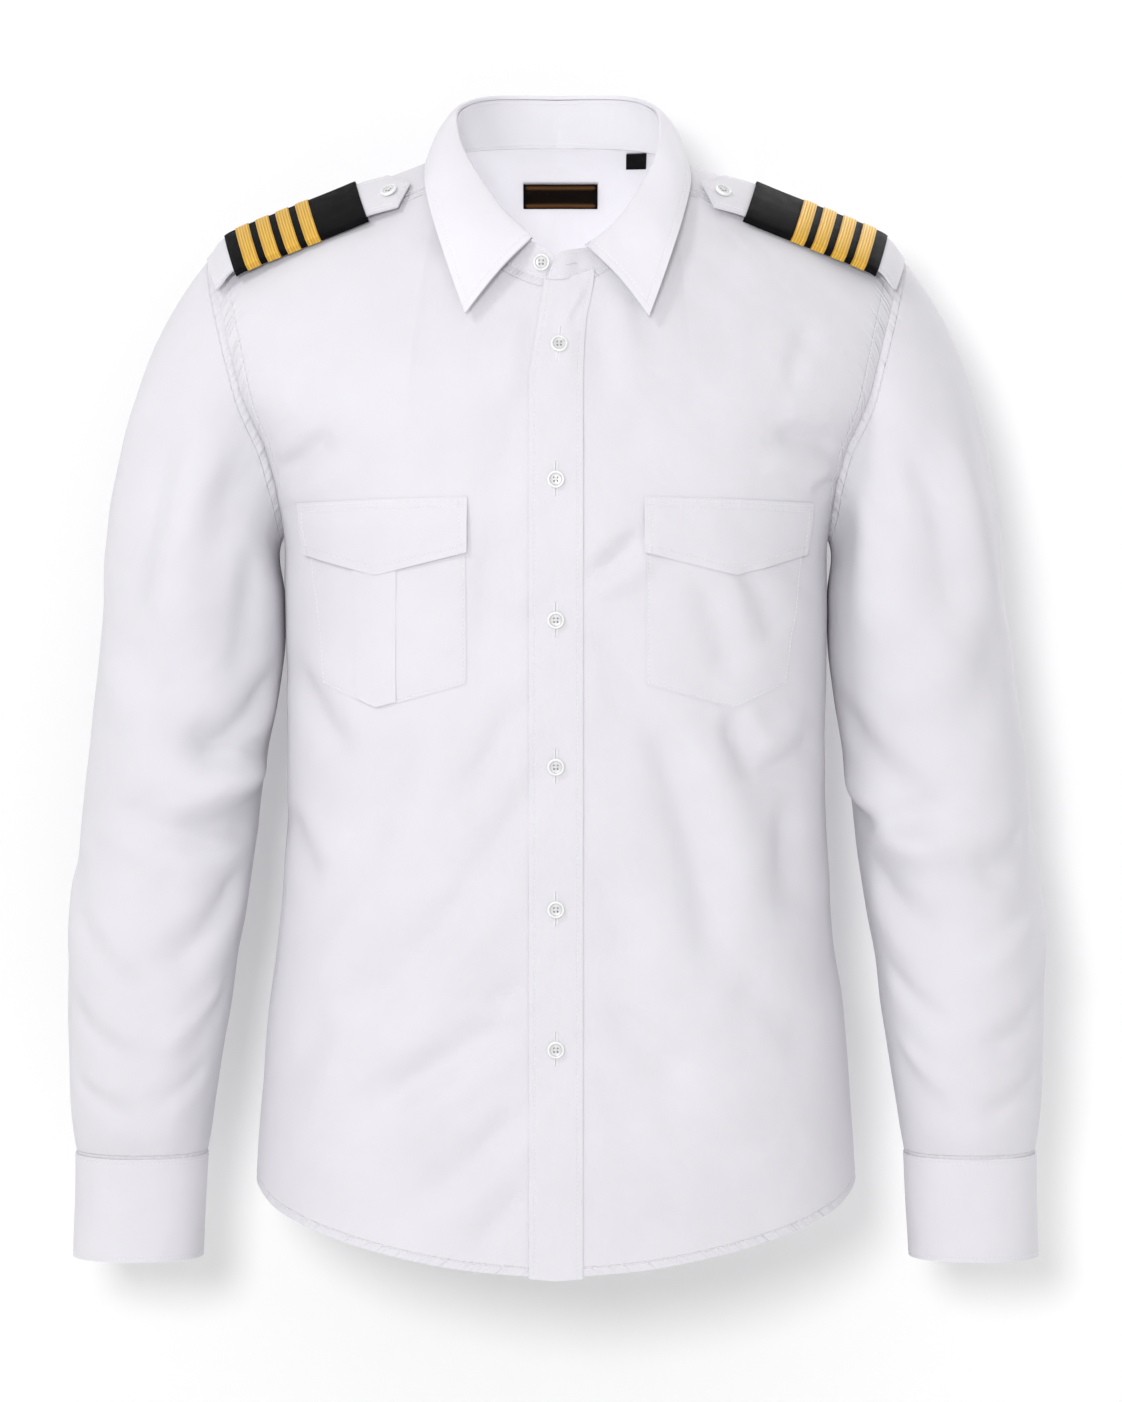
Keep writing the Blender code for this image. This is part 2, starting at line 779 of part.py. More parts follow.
def flap_grid(side, lift):
    share = np.array([0, 0.18, 0.36, 0.54, 0.7, 0.85, 1])
    x = np.interp(share, column(FLAP, 0), column(FLAP, 1))
    top = np.interp(share, column(FLAP, 0), column(FLAP, 2))
    foot = np.interp(share, column(FLAP, 0), column(FLAP, 3))
    rows = []
    for down in (0, 0.12, 0.26, 0.5, 0.75, 1.0):
        outward = LAID_ON + (lift - LAID_ON) * min(1.0, down / 0.26)
        spread_x = x - down * 5.0 * share**2
        rows.append(on_front(spread_x, top + (foot - top) * down, outward))
    grid = np.array(rows)
    grid[..., 0] *= side
    return grid


def board_lift(x):
    """Height of the board's upper face over the shoulder, which is more inside the slider."""
    return look_up(BOARD_LIFT, x, 1)


def epaulette_grid(side):
    rows = []
    for x in (STRAP_OUTER, 221.5, SLIDER_OUTER, 200, 183, 166, 149, 132, 120, 109, 104.5, STRAP_POINT):
        half = np.interp(x, (STRAP_POINT, STRAP_SHOULDER), (2.0, STRAP_HALF_WIDTH))
        across = np.linspace(-half, half, 6)
        rows.append(strap_point(side, x, across, board_lift(x)))
    return np.array(rows)


def slider_grid(side):
    """The slider as a flat tube round the shoulder board."""
    half = SLIDER_HALF_WIDTH
    low, high = SLIDER_LIFT
    flat = np.linspace(1 - half, half - 1, 6)
    across = np.concatenate([flat, [half], flat[::-1], [-half]])
    lift = np.concatenate([np.full(6, high), [(low + high) / 2], np.full(6, low), [(low + high) / 2]])
    inner = SLIDER_OUTER - SLIDER_LENGTH * ALONG_SHOULDER
    return np.array([strap_point(side, x, across, lift) for x in np.linspace(SLIDER_OUTER, inner, 8)])


def bar_grid(side, start):
    across = np.linspace(-BAR_HALF_WIDTH, BAR_HALF_WIDTH, 7)
    rows = []
    for along in (start, start + BAR_WIDTH / 2, start + BAR_WIDTH):
        x = SLIDER_OUTER - along * ALONG_SHOULDER
        rows.append(strap_point(side, x, across, SLIDER_LIFT[1] + 0.45 + BAR_WALL))
    return np.array(rows)


def label_grid():
    """The woven label inside the yoke, below the collar seam."""
    rows = []
    for z in (-35.0, -29.5, -24.0, -18.5):
        x = np.linspace(-22.5, 28.5, 7)
        rows.append(inside_shoulder(x, back_angle(x, z), WALL + 0.6))
    return np.array(rows)


def size_tab_grid():
    """The size tab inside the yoke, hanging from the collar seam."""
    rows = []
    for z in (-9.0, -4.5, 0.0):
        x = np.linspace(49.0, 62.0, 3)
        rows.append(inside_shoulder(x, back_angle(x, z), WALL + 0.6))
    return np.array(rows)


def inside_shoulder(x, angle, depth):
    """Points below the outside of the shoulder or the upper back."""
    along = shoulder_point(x + 0.5, angle) - shoulder_point(x - 0.5, angle)
    over = shoulder_point(x, angle + 0.004) - shoulder_point(x, angle - 0.004)
    normal = np.cross(along, over)
    normal /= np.linalg.norm(normal, axis=-1, keepdims=True)
    return shoulder_point(x, angle) - normal * depth


# ---------------------------------------------------------------- buttons


def add_button(name, centre, normal, material, shirt):
    """A turned button with a dished face, its foot at the centre given."""
    radius, high = BUTTON_RADIUS, BUTTON_THICKNESS
    profile = ((0, 0), (0.8, 0), (1.0, 0.3), (1.0, 0.65), (0.86, 1.0), (0.66, 1.0), (0.56, 0.72), (0, 0.68))
    points = [(r * radius, 0, h * high) for r, h in profile]
    obj = add_object(name, points, [], material, shirt)
    obj.data.edges.add(len(points) - 1)
    for number, edge in enumerate(obj.data.edges):
        edge.vertices = (number, number + 1)
    screw = obj.modifiers.new("Turned", "SCREW")
    screw.axis = "Z"
    screw.steps = 12
    screw.render_steps = 12
    screw.use_merge_vertices = True
    screw.merge_threshold = 0.00001
    screw.use_normal_calculate = True
    z = np.asarray(normal) / np.linalg.norm(normal)
    x = np.cross((0, 0, 1), z)
    if np.linalg.norm(x) < 1e-6:
        x = np.array((1.0, 0, 0))
    x = x / np.linalg.norm(x)
    y = np.cross(z, x)
    turn = Matrix([[float(x[k]), float(y[k]), float(z[k])] for k in range(3)])
    obj.matrix_world = Matrix.Translation(Vector(centre) * MM) @ turn.to_4x4()
    return obj


def surface_frame(point_at, lift):
    """Foot and normal of something that lies on a surface, from a function of the lift."""
    foot = point_at(lift)
    normal = point_at(lift + 1.0) - foot
    return foot, normal


# ---------------------------------------------------------------- the shirt


def build():
    clear_scene()
    shirt = bpy.data.collections.new("pilot_shirt")
    bpy.context.scene.collection.children.link(shirt)

    def cotton(name):
        return make_material("cotton_" + name, (0.86, 0.85, 0.88), 0.85)

    def plastic(name):
        return make_material("plastic_" + name, (0.90, 0.89, 0.87), 0.30)

    for name, side, inner in (("front_right", -1, -RIGHT_FRONT_EDGE), ("front_left", 1, LEFT_FRONT_EDGE)):
        add_cloth(name, front_grid(side, inner), cotton(name), shirt, flip=side < 0)
    add_cloth("placket", placket_grid(), cotton("placket"), shirt)
    add_cloth("back", back_grid(), cotton("back"), shirt, flip=True)
    add_cloth("yoke", yoke_grid(), cotton("yoke"), shirt, flip=True)
    add_cloth("collar_stand", stand_grid(), cotton("stand"), shirt, wall=DOUBLE_WALL, flip=True)
    add_cloth("collar_leaf", leaf_grid(), cotton("leaf"), shirt, wall=DOUBLE_WALL)

    for name, side in (("right", -1), ("left", 1)):
        mirrored = side < 0
        add_cloth("sleeve_" + name, sleeve_grid(side), cotton("sleeve_" + name), shirt,
                  closed=True, flip=mirrored)
        add_cloth("cuff_" + name, cuff_grid(side), cotton("cuff_" + name), shirt,
                  wall=DOUBLE_WALL, flip=mirrored)
        add_cloth("sleeve_placket_" + name, sleeve_placket_grid(side), cotton("sleeve_placket_" + name),
                  shirt, flip=not mirrored)
        add_cloth("pocket_" + name, pocket_grid(side), cotton("pocket_" + name), shirt, flip=mirrored)
        flap_lift = (3 if mirrored else 2) * LAID_ON
        add_cloth("pocket_flap_" + name, flap_grid(side, flap_lift), cotton("flap_" + name), shirt,
                  flip=not mirrored)
        add_cloth("epaulette_" + name, epaulette_grid(side), cotton("epaulette_" + name), shirt,
                  wall=DOUBLE_WALL, flip=mirrored)
        satin = make_material("satin_" + name, (0.012, 0.012, 0.014), 0.45)
        add_cloth("slider_" + name, slider_grid(side), satin, shirt, closed=True, flip=mirrored)
        for number, start in enumerate(BAR_STARTS, 1):
            braid = make_material(f"braid_{name}_{number}", (0.78, 0.50, 0.10), 0.35, 0.6)
            add_cloth(f"rank_bar_{name}_{number}", bar_grid(side, start), braid, shirt, wall=BAR_WALL,
                      flip=mirrored)
        foot, normal = surface_frame(lambda lift: strap_point(side, EPAULETTE_BUTTON, 0.0, lift),
                                     board_lift(EPAULETTE_BUTTON) + 3 * SEAM_GAP)
        add_button("epaulette_button_" + name, foot, normal, plastic("epaulette_" + name), shirt)
        cuff = cuff_grid(side)
        centre = (cuff[0, -3] + 3 * cuff[1, -3] + cuff[2, -3]) / 5
        along = cuff[1, -2] - cuff[1, -4]
        down = cuff[2, -3] - cuff[0, -3]
        normal = np.cross(along, down)
        normal *= np.sign((normal * (centre - np.array([side * 279.0, -11, centre[2]]))).sum())
        foot = centre + normal / np.linalg.norm(normal) * SEAM_GAP
        add_button("cuff_button_" + name, foot, normal, plastic("cuff_" + name), shirt)

    add_cloth("pocket_pleat_right", pleat_grid(), cotton("pleat"), shirt, flip=True)
    for number, z in enumerate(PLACKET_BUTTONS, 1):
        x = placket_x(0.0, z)
        foot, normal = surface_frame(lambda lift: on_front(x, z, lift), LAID_ON + 1.5 * SEAM_GAP)
        add_button(f"placket_button_{number}", foot, normal, plastic(f"placket_{number}"), shirt)

    stand = stand_grid()
    middle_row = (stand[1, :8] + stand[2, :8]) / 2
    before = np.searchsorted(-middle_row[:, 0], -STAND_BUTTON_X) - 1
    inner, outer = middle_row[before], middle_row[before + 1]
    middle = inner + (outer - inner) * (STAND_BUTTON_X - inner[0]) / (outer[0] - inner[0])
    normal = np.cross(outer - inner, stand[2, before] - stand[1, before])
    normal *= -np.sign(normal[1])
    add_button("stand_button", middle + normal / np.linalg.norm(normal) * 1.5 * SEAM_GAP, normal,
               plastic("stand"), shirt)

    woven = make_material("woven_label", (0.05, 0.035, 0.03), 0.7)
    add_cloth("neck_label", label_grid(), woven, shirt, wall=LABEL_WALL, flip=True)
    tab = make_material("woven_tab", (0.03, 0.03, 0.03), 0.7)
    add_cloth("size_tab", size_tab_grid(), tab, shirt, wall=LABEL_WALL, flip=True)


build()
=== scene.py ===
"""Looks of the pilot shirt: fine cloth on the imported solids, its creases, sewing, braid, buttons and light.

The tables in the first half repeat the sizes of the solids, in millimetres; the frame is theirs too: X to the
wearer's left, Y to the back, Z up.
"""

import math

import bpy
import numpy as np
from mathutils import Matrix, Vector


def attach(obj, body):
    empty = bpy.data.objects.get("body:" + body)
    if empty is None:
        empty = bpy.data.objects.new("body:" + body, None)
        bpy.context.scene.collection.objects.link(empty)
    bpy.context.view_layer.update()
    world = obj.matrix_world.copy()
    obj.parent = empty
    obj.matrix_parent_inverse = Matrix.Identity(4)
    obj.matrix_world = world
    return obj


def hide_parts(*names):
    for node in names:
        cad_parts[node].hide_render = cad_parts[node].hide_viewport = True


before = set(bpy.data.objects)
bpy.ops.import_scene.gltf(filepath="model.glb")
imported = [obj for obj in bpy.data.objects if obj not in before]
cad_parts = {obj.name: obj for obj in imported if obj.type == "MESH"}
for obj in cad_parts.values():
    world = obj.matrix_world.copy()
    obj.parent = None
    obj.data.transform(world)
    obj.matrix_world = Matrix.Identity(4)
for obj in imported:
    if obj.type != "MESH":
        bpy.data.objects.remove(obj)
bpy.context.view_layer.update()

MM = 0.001

# The pieces that come in pairs: name and direction on the X axis
SIDES = (("right", -1), ("left", 1))

# Camera: lens and sensor in millimetres, tilt, the point it looks at and its distance in metres
CAMERA_LENS = 137.97
CAMERA_SENSOR = 36
CAMERA_TILT = math.radians(3.5)
CAMERA_TARGET = (0.00335, 0, -0.36649)
CAMERA_DISTANCE = 3.6

# Stage in metres, and the strength of the light all round
FLOOR_HEIGHT = -1.02
BACKDROP_DEPTH = 0.152
WORLD_STRENGTH = 0.66

# Cotton: its colours, the pitches of its yarns and the usual distance of stitches from an edge
COTTON_DARK = (0.665, 0.652, 0.69)
COTTON_LIGHT = (0.715, 0.702, 0.742)
WARP_PITCH = 0.42
WEFT_PITCH = 0.46
STITCH_INSET = 5.4

# Names of the sockets of two nodes, in the order of the values given, and the foot of the bell curve
NOISE_INPUTS = ("Vector", "Scale", "Detail", "Roughness")
RANGE_INPUTS = ("Value", "From Min", "From Max", "To Min", "To Max")
INVERSE_E = 0.36788

# Wall of the cloth of the solids, and the gap between two pieces at a seam
WALL = 1.2
SEAM_GAP = 0.3

# Main heights
ARMPIT_HEIGHT = -254.0
CUFF_SEAM_HEIGHT = -668.5
BICEPS_HEIGHT = -300.0
ARMHOLE_TOP = -68.5

# Sleeves: roundness of their sections, distance of their axis from the middle and mean radius
SLEEVE_ROUNDNESS = 2.2
SLEEVE_AXIS = 262.0
SLEEVE_GIRTH = 56.0

# Body: roundness of its sections, depth of the shoulder ridge, heights over which front and back roll over it
ROUNDNESS = 2.4
RIDGE_DEPTH = 5.0
FRONT_ROLL = 200.0
BACK_ROLL = 140.0

# Neck point and outer ends of the front's upper edge and of the yoke seam: distances from the middle
NECK_POINT = 76
FRONT_TOP_EDGE = 226.4
YOKE_SEAM_REACH = 216

# Drop of the yoke's front seam below the ridge
YOKE_SEAM_DROP = 18

# Front closing: half width of its band, distances of the edges of both fronts from the middle
PLACKET_HALF_WIDTH = 17.5
RIGHT_FRONT_EDGE = 12.0
LEFT_FRONT_EDGE = 12.7

# Yoke seams: front one as an angle over the shoulder, back one as a height
YOKE_FRONT_ANGLE = -0.428
YOKE_BACK_CENTRE = -112.0
YOKE_BACK_SIDE = -122.0

# Shoulder boards: angle of their middle line over the shoulder, half widths of board and slider
STRAP_CENTRE_ANGLE = -0.27
STRAP_HALF_WIDTH = 22.0
SLIDER_HALF_WIDTH = 25.3

# Direction across a shoulder board to the back, and the one along it to the outside
BOARD_ACROSS = (0.18, 0.852, 0.491)
BOARD_ALONG = (0.915, 0.089, -0.394)

# Body sections: height, half width, front depth, back depth
BODY = (
    (-770, 205, 136, 118),
    (-734, 203.5, 135, 117),
    (-684, 201, 133, 115),
    (-631, 197.5, 131, 112),
    (-578, 193, 130, 107),
    (-525, 186, 129, 102),
    (-485, 182.5, 128, 100),
    (-445, 180, 129, 101),
    (-400, 179, 131, 105),
    (-340, 179, 133.5, 112),
    (-290, 179.5, 134, 118),
    (-254, 181, 133.5, 122),
    (-229, 187, 132, 124),
    (-216, 192, 131, 124.5),
    (-195, 200, 130, 125),
    (-183, 208, 129, 124.5),
    (-164, 222, 126, 123),
    (-144, 231, 123, 121),
    (-118, 239, 117, 118),
    (-91, 244, 112, 115),
    (-40, 246, 106, 112),
    (40, 246, 104, 110),
)

# Shoulder ridge: distance from the middle, height
RIDGE = (
    (0, 22),
    (30, 17),
    (55, 9),
    (70, 1.5),
    (84, -6),
    (100, -12.5),
    (134, -24.5),
    (180, -43),
    (210, -57),
    (232, -71),
)

# Armhole edge: height, distance from the middle
ARMHOLE = (
    (-254, 181),
    (-240, 182.6),
    (-229, 184),
    (-216, 187),
    (-195, 192.5),
    (-183, 198),
    (-164, 206),
    (-144, 211.5),
    (-118, 218.5),
    (-91, 225),
    (-80, 227.2),
    (-62, 229.5),
)

# Hem: share of the half width, height at the front, height at the back
HEM = (
    (0.0, -734, -743),
    (0.34, -728, -737),
    (0.5, -722.5, -730),
    (0.67, -715, -720),
    (0.84, -705, -708.5),
    (0.945, -695.5, -697),
    (1.0, -686, -686),
)

# Neckline on the fronts: distance from the middle, height
NECK_FRONT = (
    (-20, -82),
    (-12, -84.5),
    (0, -86),
    (12, -84.5),
    (24, -80),
    (38, -72),
    (52, -60),
    (64, -45),
    (72, -32),
    (76, -21.2),
)

# Neckline on the yoke, from the middle of the back: distance from the middle, angle over the shoulder
NECK_YOKE = (
    (0, 0.50),
    (30, 0.43),
    (55, 0.31),
    (70, 0.17),
    (76.5, 0.0),
    (77.5, -0.22),
    (76, YOKE_FRONT_ANGLE),
)

# Top edge of the collar stand, half way round from the back: x, y, z
STAND_TOP = (
    (0, 52, 36.5),
    (24, 50, 36.8),
    (44, 41, 36),
    (60, 20, 31.5),
    (66.5, 0, 23.5),
    (65.5, -17, 10),
    (60, -36, -5),
    (48, -58, -25),
    (34, -77, -44),
    (17, -91, -60.5),
    (9.5, -95.5, -65),
    (2.5, -98, -69.5),
    (-1.5, -98.5, -75.5),
    (-5.2, -98.5, -83),
)

# Collar leaf, half way round from the back: x, y, z of its fold, then x, y, z of its outer edge
LEAF = (
    (0, 52.5, 38.6, 0, 79, -5),
    (24, 50.5, 38.8, 30, 76, -5.5),
    (44, 41.5, 38, 55, 64, -6),
    (60.5, 20.5, 33.5, 73, 41, -5.5),
    (67.9, 0, 26.4, 82, 14, -2.5),
    (67.2, -16.8, 13.2, 85.5, -12, -6),
    (62, -36.8, -1.8, 86.5, -40, -20),
    (50, -59.2, -21.8, 82, -66, -40),
    (35.6, -78.8, -41.2, 75, -89, -63),
    (25, -87.5, -51.3, 67, -102, -86),
    (15.5, -96.5, -59.3, 58.5, -112, -108.5),
)

# Sleeve sections: height, centre x, centre y, half width, half depth
SLEEVE = (
    (-300, 242.5, 3, 57.5, 71),
    (-340, 246, 5, 59.8, 68.5),
    (-371, 249.5, 6, 60.6, 66),
    (-407, 254.8, 6, 59.8, 63),
    (-438, 258, 4.5, 59.6, 61),
    (-470, 261.5, 2, 58.8, 59.5),
    (-504, 265.5, -1, 58, 58),
    (-541, 270.5, -4, 56, 56),
    (-572, 272.7, -6, 54, 54),
    (-604, 275, -8, 51.5, 51.5),
    (-638, 277, -9.5, 48.3, 47.5),
    (-656, 277.4, -10, 45.8, 44),
    (-668.5, 277.6, -10.5, 43.6, 39),
)

# Cuff sections: height, centre x, centre y, half width, half depth
CUFF = (
    (-668.9, 277.8, -10.5, 44.6, 38.5),
    (-703, 279.2, -11, 44.2, 37.5),
    (-738, 280.6, -11.5, 43.8, 37),
)


# Heights of the placket buttons
PLACKET_BUTTONS = (-129, -215.5, -306, -401, -494, -585)

# Cuff closing: angle where the under end starts, overlap and step out of the upper end; columns of the grid
CUFF_START = -1.15
CUFF_OVERLAP = 0.42
CUFF_STEP = 2.6
CUFF_COLUMNS = 130

# Pocket outline on the front: distance from the middle, height
POCKET_TOP_HEIGHT = -243.0
POCKET_INNER = 58.2
POCKET_OUTER_TOP = 164.0
POCKET_OUTER_FOOT = 150.5
POCKET_FOOT_INNER = -347.5
POCKET_FOOT_TIP = (116.0, -364.5)
POCKET_FOOT_OUTER = -349.5

# Collar: step of the lapped end of the stand, bulge of the leaf, place of the stand button; rows of the grids
STAND_LAP = 2.3
LEAF_BULGE = 4.0
STAND_BUTTON_X = -9.4
STAND_ROWS = 18
LEAF_ROWS = 32

# Rounded lip of the leaf inside its fold: distance inward, rise
LEAF_LIP = ((2.5, -1.8), (2.5, -0.8), (2.3, 0.1), (1.9, 0.6), (1.3, 0.85), (0.6, 0.9), (-0.05, 0.6))

# Pocket flap: share of its width from the inner end, distance from the middle, top height, foot height
FLAP = (
    (0.0, 57.0, -226.5, -262.5),
    (0.54, 118.0, -228.6, -278.0),
    (1.0, 168.5, -231.8, -266.0),
)

# Box pleat on the wearer's right pocket: inner edge, outer edge at the top and at the foot
PLEAT_INNER = 103.0
PLEAT_OUTER_TOP = 132.5
PLEAT_OUTER_FOOT = 128.0

# Rank bars on the slider: distances from the slider's outer end, width
BAR_STARTS = (8.5, 23.5, 38.5, 53.5)
BAR_WIDTH = 10.0

# Slider and board: length of the slider, then distances from the middle of its outer end, of the board's
# outer end, shoulder and point and of its button; run along X of 1 mm of slider; lift of the tube's two
# faces, and how square its section is
SLIDER_LENGTH = 100.0
SLIDER_OUTER = 216.0
STRAP_OUTER = 226.5
STRAP_SHOULDER = 109.0
STRAP_POINT = 97.5
EPAULETTE_BUTTON = 110.7
ALONG_SHOULDER = 0.92
SLIDER_LIFT = (0.6, 5.8)
TUBE_POWER = 0.16

# Place of the button across the board, towards the front
BOARD_BUTTON_SHIFT = -4.5

# Upper face of the strap over the base line of its board: distance from the middle, height
BOARD_LIFT = (
    (97, 2.6),
    (106, 3.2),
    (116, 3.55),
    (124, 4.0),
    (150, 4.0),
    (200, 4.0),
    (216, 3.95),
    (222, 2.9),
    (229, 2.5),
)

# Base line of a board, straight inside the slider: distance from the middle, height over the cloth,
# radius of the board's bow across
BOARD_BASE = (
    (97, 1.5, 90),
    (109, 1.8, 110),
    (124, 1.7, 140),
    (135, 0.9, 140),
    (150, 0.3, 140),
    (165, 0.2, 140),
    (180, 0.4, 140),
    (195, 0.9, 140),
    (205, 1.3, 140),
    (216, 1.9, 140),
    (222, 1.0, 80),
    (229, 0.2, 50),
)

# Edges of the placket under the collar: height, sideways shift of the right and of the left edge
PLACKET_TURN = (
    (-84, 10.2, 7.5),
    (-99, 8.4, 5.0),
    (-108, 6.8, 2.9),
    (-118, 5.2, 1.6),
    (-131, 3.0, 0.8),
    (-150, 0, 0),
)


# ---------------------------------------------------------------- curves and surfaces


def column(table, index):
    return [row[index] for row in table]


def hermite(t, start, end, leave, arrive):
    """A cubic from start to end, with a slope at each."""
    from_start = (1 + 2 * t) * (1 - t) ** 2 * start + t * (1 - t) ** 2 * leave
    return from_start + t * t * (3 - 2 * t) * end + t * t * (t - 1) * arrive


def eased(t):
    """A step from 0 to 1 that starts and ends level."""
    return t * t * (3 - 2 * t)


def powered(value, power):
    """A power that keeps the sign."""
    return np.sign(value) * np.abs(value) ** power


def unit(vectors):
    """Vectors brought to length 1."""
    return vectors / np.maximum(np.linalg.norm(vectors, axis=-1, keepdims=True), 1e-9)


def curve(at, knots, values):
    """Values at the places asked for, on a smooth curve through the knots."""
    knots, values = np.asarray(knots, float), np.asarray(values, float)
    at = np.clip(np.asarray(at, float), knots[0], knots[-1])
    slopes = np.gradient(values, knots)
    i = np.clip(np.searchsorted(knots, at) - 1, 0, len(knots) - 2)
    step = knots[i + 1] - knots[i]
    return hermite((at - knots[i]) / step, values[i], values[i + 1], step * slopes[i], step * slopes[i + 1])


def look_up(table, key, index):
    """One column of a table at a key in its first column, which may run up or down."""
    rows = sorted(table)
    return curve(key, column(rows, 0), column(rows, index))


def section_at(table, height):
    """A sleeve or cuff section at a height."""
    return [height, *[look_up(table, height, index) for index in range(1, 5)]]


def path(points, share):
    """Points at a share of the length of a smooth path."""
    points = np.asarray(points, float)
    steps = np.linalg.norm(np.diff(points, axis=0), axis=1)
    length = np.concatenate([[0], np.cumsum(steps)]) / steps.sum()
    return np.stack([curve(share, length, points[:, k]) for k in range(points.shape[1])], axis=-1)


def ridge_height(x):
    """Height of the shoulder ridge at a distance from the middle."""
    return look_up(RIDGE, np.abs(x), 1)


def section_depth(x, z, index):
    """Depth of the body at one place, before the roll over the shoulder."""
    half_width = look_up(BODY, z, 1)
    inside = np.clip(1 - (np.abs(x) / half_width) ** ROUNDNESS, 0, 1)
    return look_up(BODY, z, index) * inside ** (1 / ROUNDNESS)


def body_depth(x, z, index, way, roll_height):
    """Y of the outside of the body at a place given by x and z: way is -1 in front and 1 behind."""
    drop = np.clip((ridge_height(x) - z) / roll_height, 0, 1)
    roll = np.sqrt(1 - (1 - drop) ** 2)
    return RIDGE_DEPTH + way * (section_depth(x, z, index) - way * RIDGE_DEPTH) * roll


def front_depth(x, z):
    return body_depth(x, z, 2, -1, FRONT_ROLL)


def back_depth(x, z):
    return body_depth(x, z, 3, 1, BACK_ROLL)


def shoulder_point(x, angle):
    """Point of the shoulder at an angle over the ridge: negative in front, positive behind."""
    x, angle = np.broadcast_arrays(np.asarray(x, float), np.asarray(angle, float))
    roll = np.where(angle < 0, FRONT_ROLL, BACK_ROLL)
    z = ridge_height(x) - roll * (1 - np.cos(angle))
    front = -(section_depth(x, z, 2) + RIDGE_DEPTH)
    back = section_depth(x, z, 3) - RIDGE_DEPTH
    y = RIDGE_DEPTH + np.where(angle < 0, front, back) * np.abs(np.sin(angle))
    return np.stack([x, y, z], axis=-1)


def back_angle(x, z):
    """Angle over the ridge at which the back has a given height."""
    return np.arccos(np.clip(1 - (ridge_height(x) - z) / BACK_ROLL, 0, 1))


def on_front(x, z, lift=0.0):
    """Points on the front, moved out by a given distance square to the cloth."""
    x, z = np.broadcast_arrays(np.asarray(x, float), np.asarray(z, float))
    y = front_depth(x, z)
    slope_x = front_depth(x + 0.5, z) - front_depth(x - 0.5, z)
    slope_z = front_depth(x, z + 0.5) - front_depth(x, z - 0.5)
    normal = unit(np.stack([slope_x, -np.ones_like(y), slope_z], axis=-1))
    return np.stack([x, y, z], axis=-1) + normal * np.asarray(lift, float)[..., None]


def strap_point(side, x, across, lift):
    """Point on a shoulder board: across is in millimetres, to the back when positive."""
    x, across, lift = np.broadcast_arrays(np.asarray(x, float), across, lift)
    over = np.array(BOARD_ACROSS)
    normal = np.cross(BOARD_ALONG, over)
    drop = across**2 / (2 * look_up(BOARD_BASE, x, 2))
    height = lift + look_up(BOARD_BASE, x, 1) - drop
    point = shoulder_point(x, STRAP_CENTRE_ANGLE) + over * across[..., None] + normal * height[..., None]
    point[..., 0] *= side
    return point


def armhole_loop(count):
    """Points of the armhole on the wearer's left, from the shoulder down the front and up the back."""
    turn = np.linspace(0, math.pi, 90)
    z = ARMHOLE_TOP + (ARMPIT_HEIGHT - ARMHOLE_TOP) * (1 - np.cos(turn)) / 2
    x = look_up(ARMHOLE, z, 1)
    front = np.stack([x, front_depth(x, z), z], axis=-1)
    back = np.stack([x, back_depth(x, z), z], axis=-1)[::-1]
    return path(np.concatenate([front, back[1:]]), np.arange(count) / count)


def ring(section, angle):
    """Points of a rounded section: the angle runs from the outside to the front."""
    height, x, y, half_width, half_depth = section
    across, ahead = powered(np.cos(angle), 2 / SLEEVE_ROUNDNESS), powered(np.sin(angle), 2 / SLEEVE_ROUNDNESS)
    return np.stack([x + half_width * across, y - half_depth * ahead, height + 0 * across], axis=-1)


def pushed_out(section, angle, lift):
    """Points of a rounded section, moved out from its middle."""
    points = ring(section, angle)
    return points + unit(points - np.array([section[1], section[2], section[0]])) * lift[:, None]


def edge_share(count, gap, length):
    """Shares from 0 to 1, drawn in at both ends by half of the gap between two pieces."""
    share = np.linspace(0, 1, count)
    inset = gap / 2 / length
    return inset + share * (1 - 2 * inset)


def body_turn(x, z):
    """Angle round a body section of a place, from the middle to the side seam."""
    return np.arcsin(powered(np.clip(x / look_up(BODY, z, 1), -1, 1), ROUNDNESS / 2))


def spread(turn):
    """Share of the half width at an angle round a body section."""
    return powered(np.sin(turn), 2 / ROUNDNESS)


def yoke_seam_height(x):
    """Height of the seam between back and yoke."""
    return YOKE_BACK_CENTRE + (YOKE_BACK_SIDE - YOKE_BACK_CENTRE) * (x / YOKE_SEAM_REACH) ** 2


def armhole_reach(angle):
    """Distance from the middle at which the shoulder at this angle meets the armhole."""
    reach = np.full_like(np.asarray(angle, float), 226.0)
    for _ in range(40):
        reach = (reach + look_up(ARMHOLE, shoulder_point(reach, angle)[..., 2], 1)) / 2
    return reach


def yoke_edge(share):
    """Upper edge of half of the yoke as x and angle: round the neck, then along the front seam."""
    at_neck = 9 / 14
    round_neck = path(np.array(NECK_YOKE) * (1, 60), np.clip(share / at_neck, 0, 1)) / (1, 60)
    out = np.clip((share - at_neck) / (1 - at_neck), 0, 1)
    reach = armhole_reach(YOKE_FRONT_ANGLE) - SEAM_GAP
    x = np.where(share <= at_neck, round_neck[:, 0], NECK_POINT + (reach - NECK_POINT) * out)
    angle = np.where(share <= at_neck, round_neck[:, 1], YOKE_FRONT_ANGLE)
    return x, angle


def cuff_band(heights, count):
    """A cuff, whose outer end lies over its inner end."""
    angle = CUFF_START + np.linspace(0, 2 * math.pi + CUFF_OVERLAP, count)
    past = np.clip((angle - CUFF_START - 2 * math.pi + 0.25) / 0.25, 0, 1)
    lift = CUFF_STEP * eased(past)
    return np.array([pushed_out(section_at(CUFF, height), angle, lift) for height in heights])


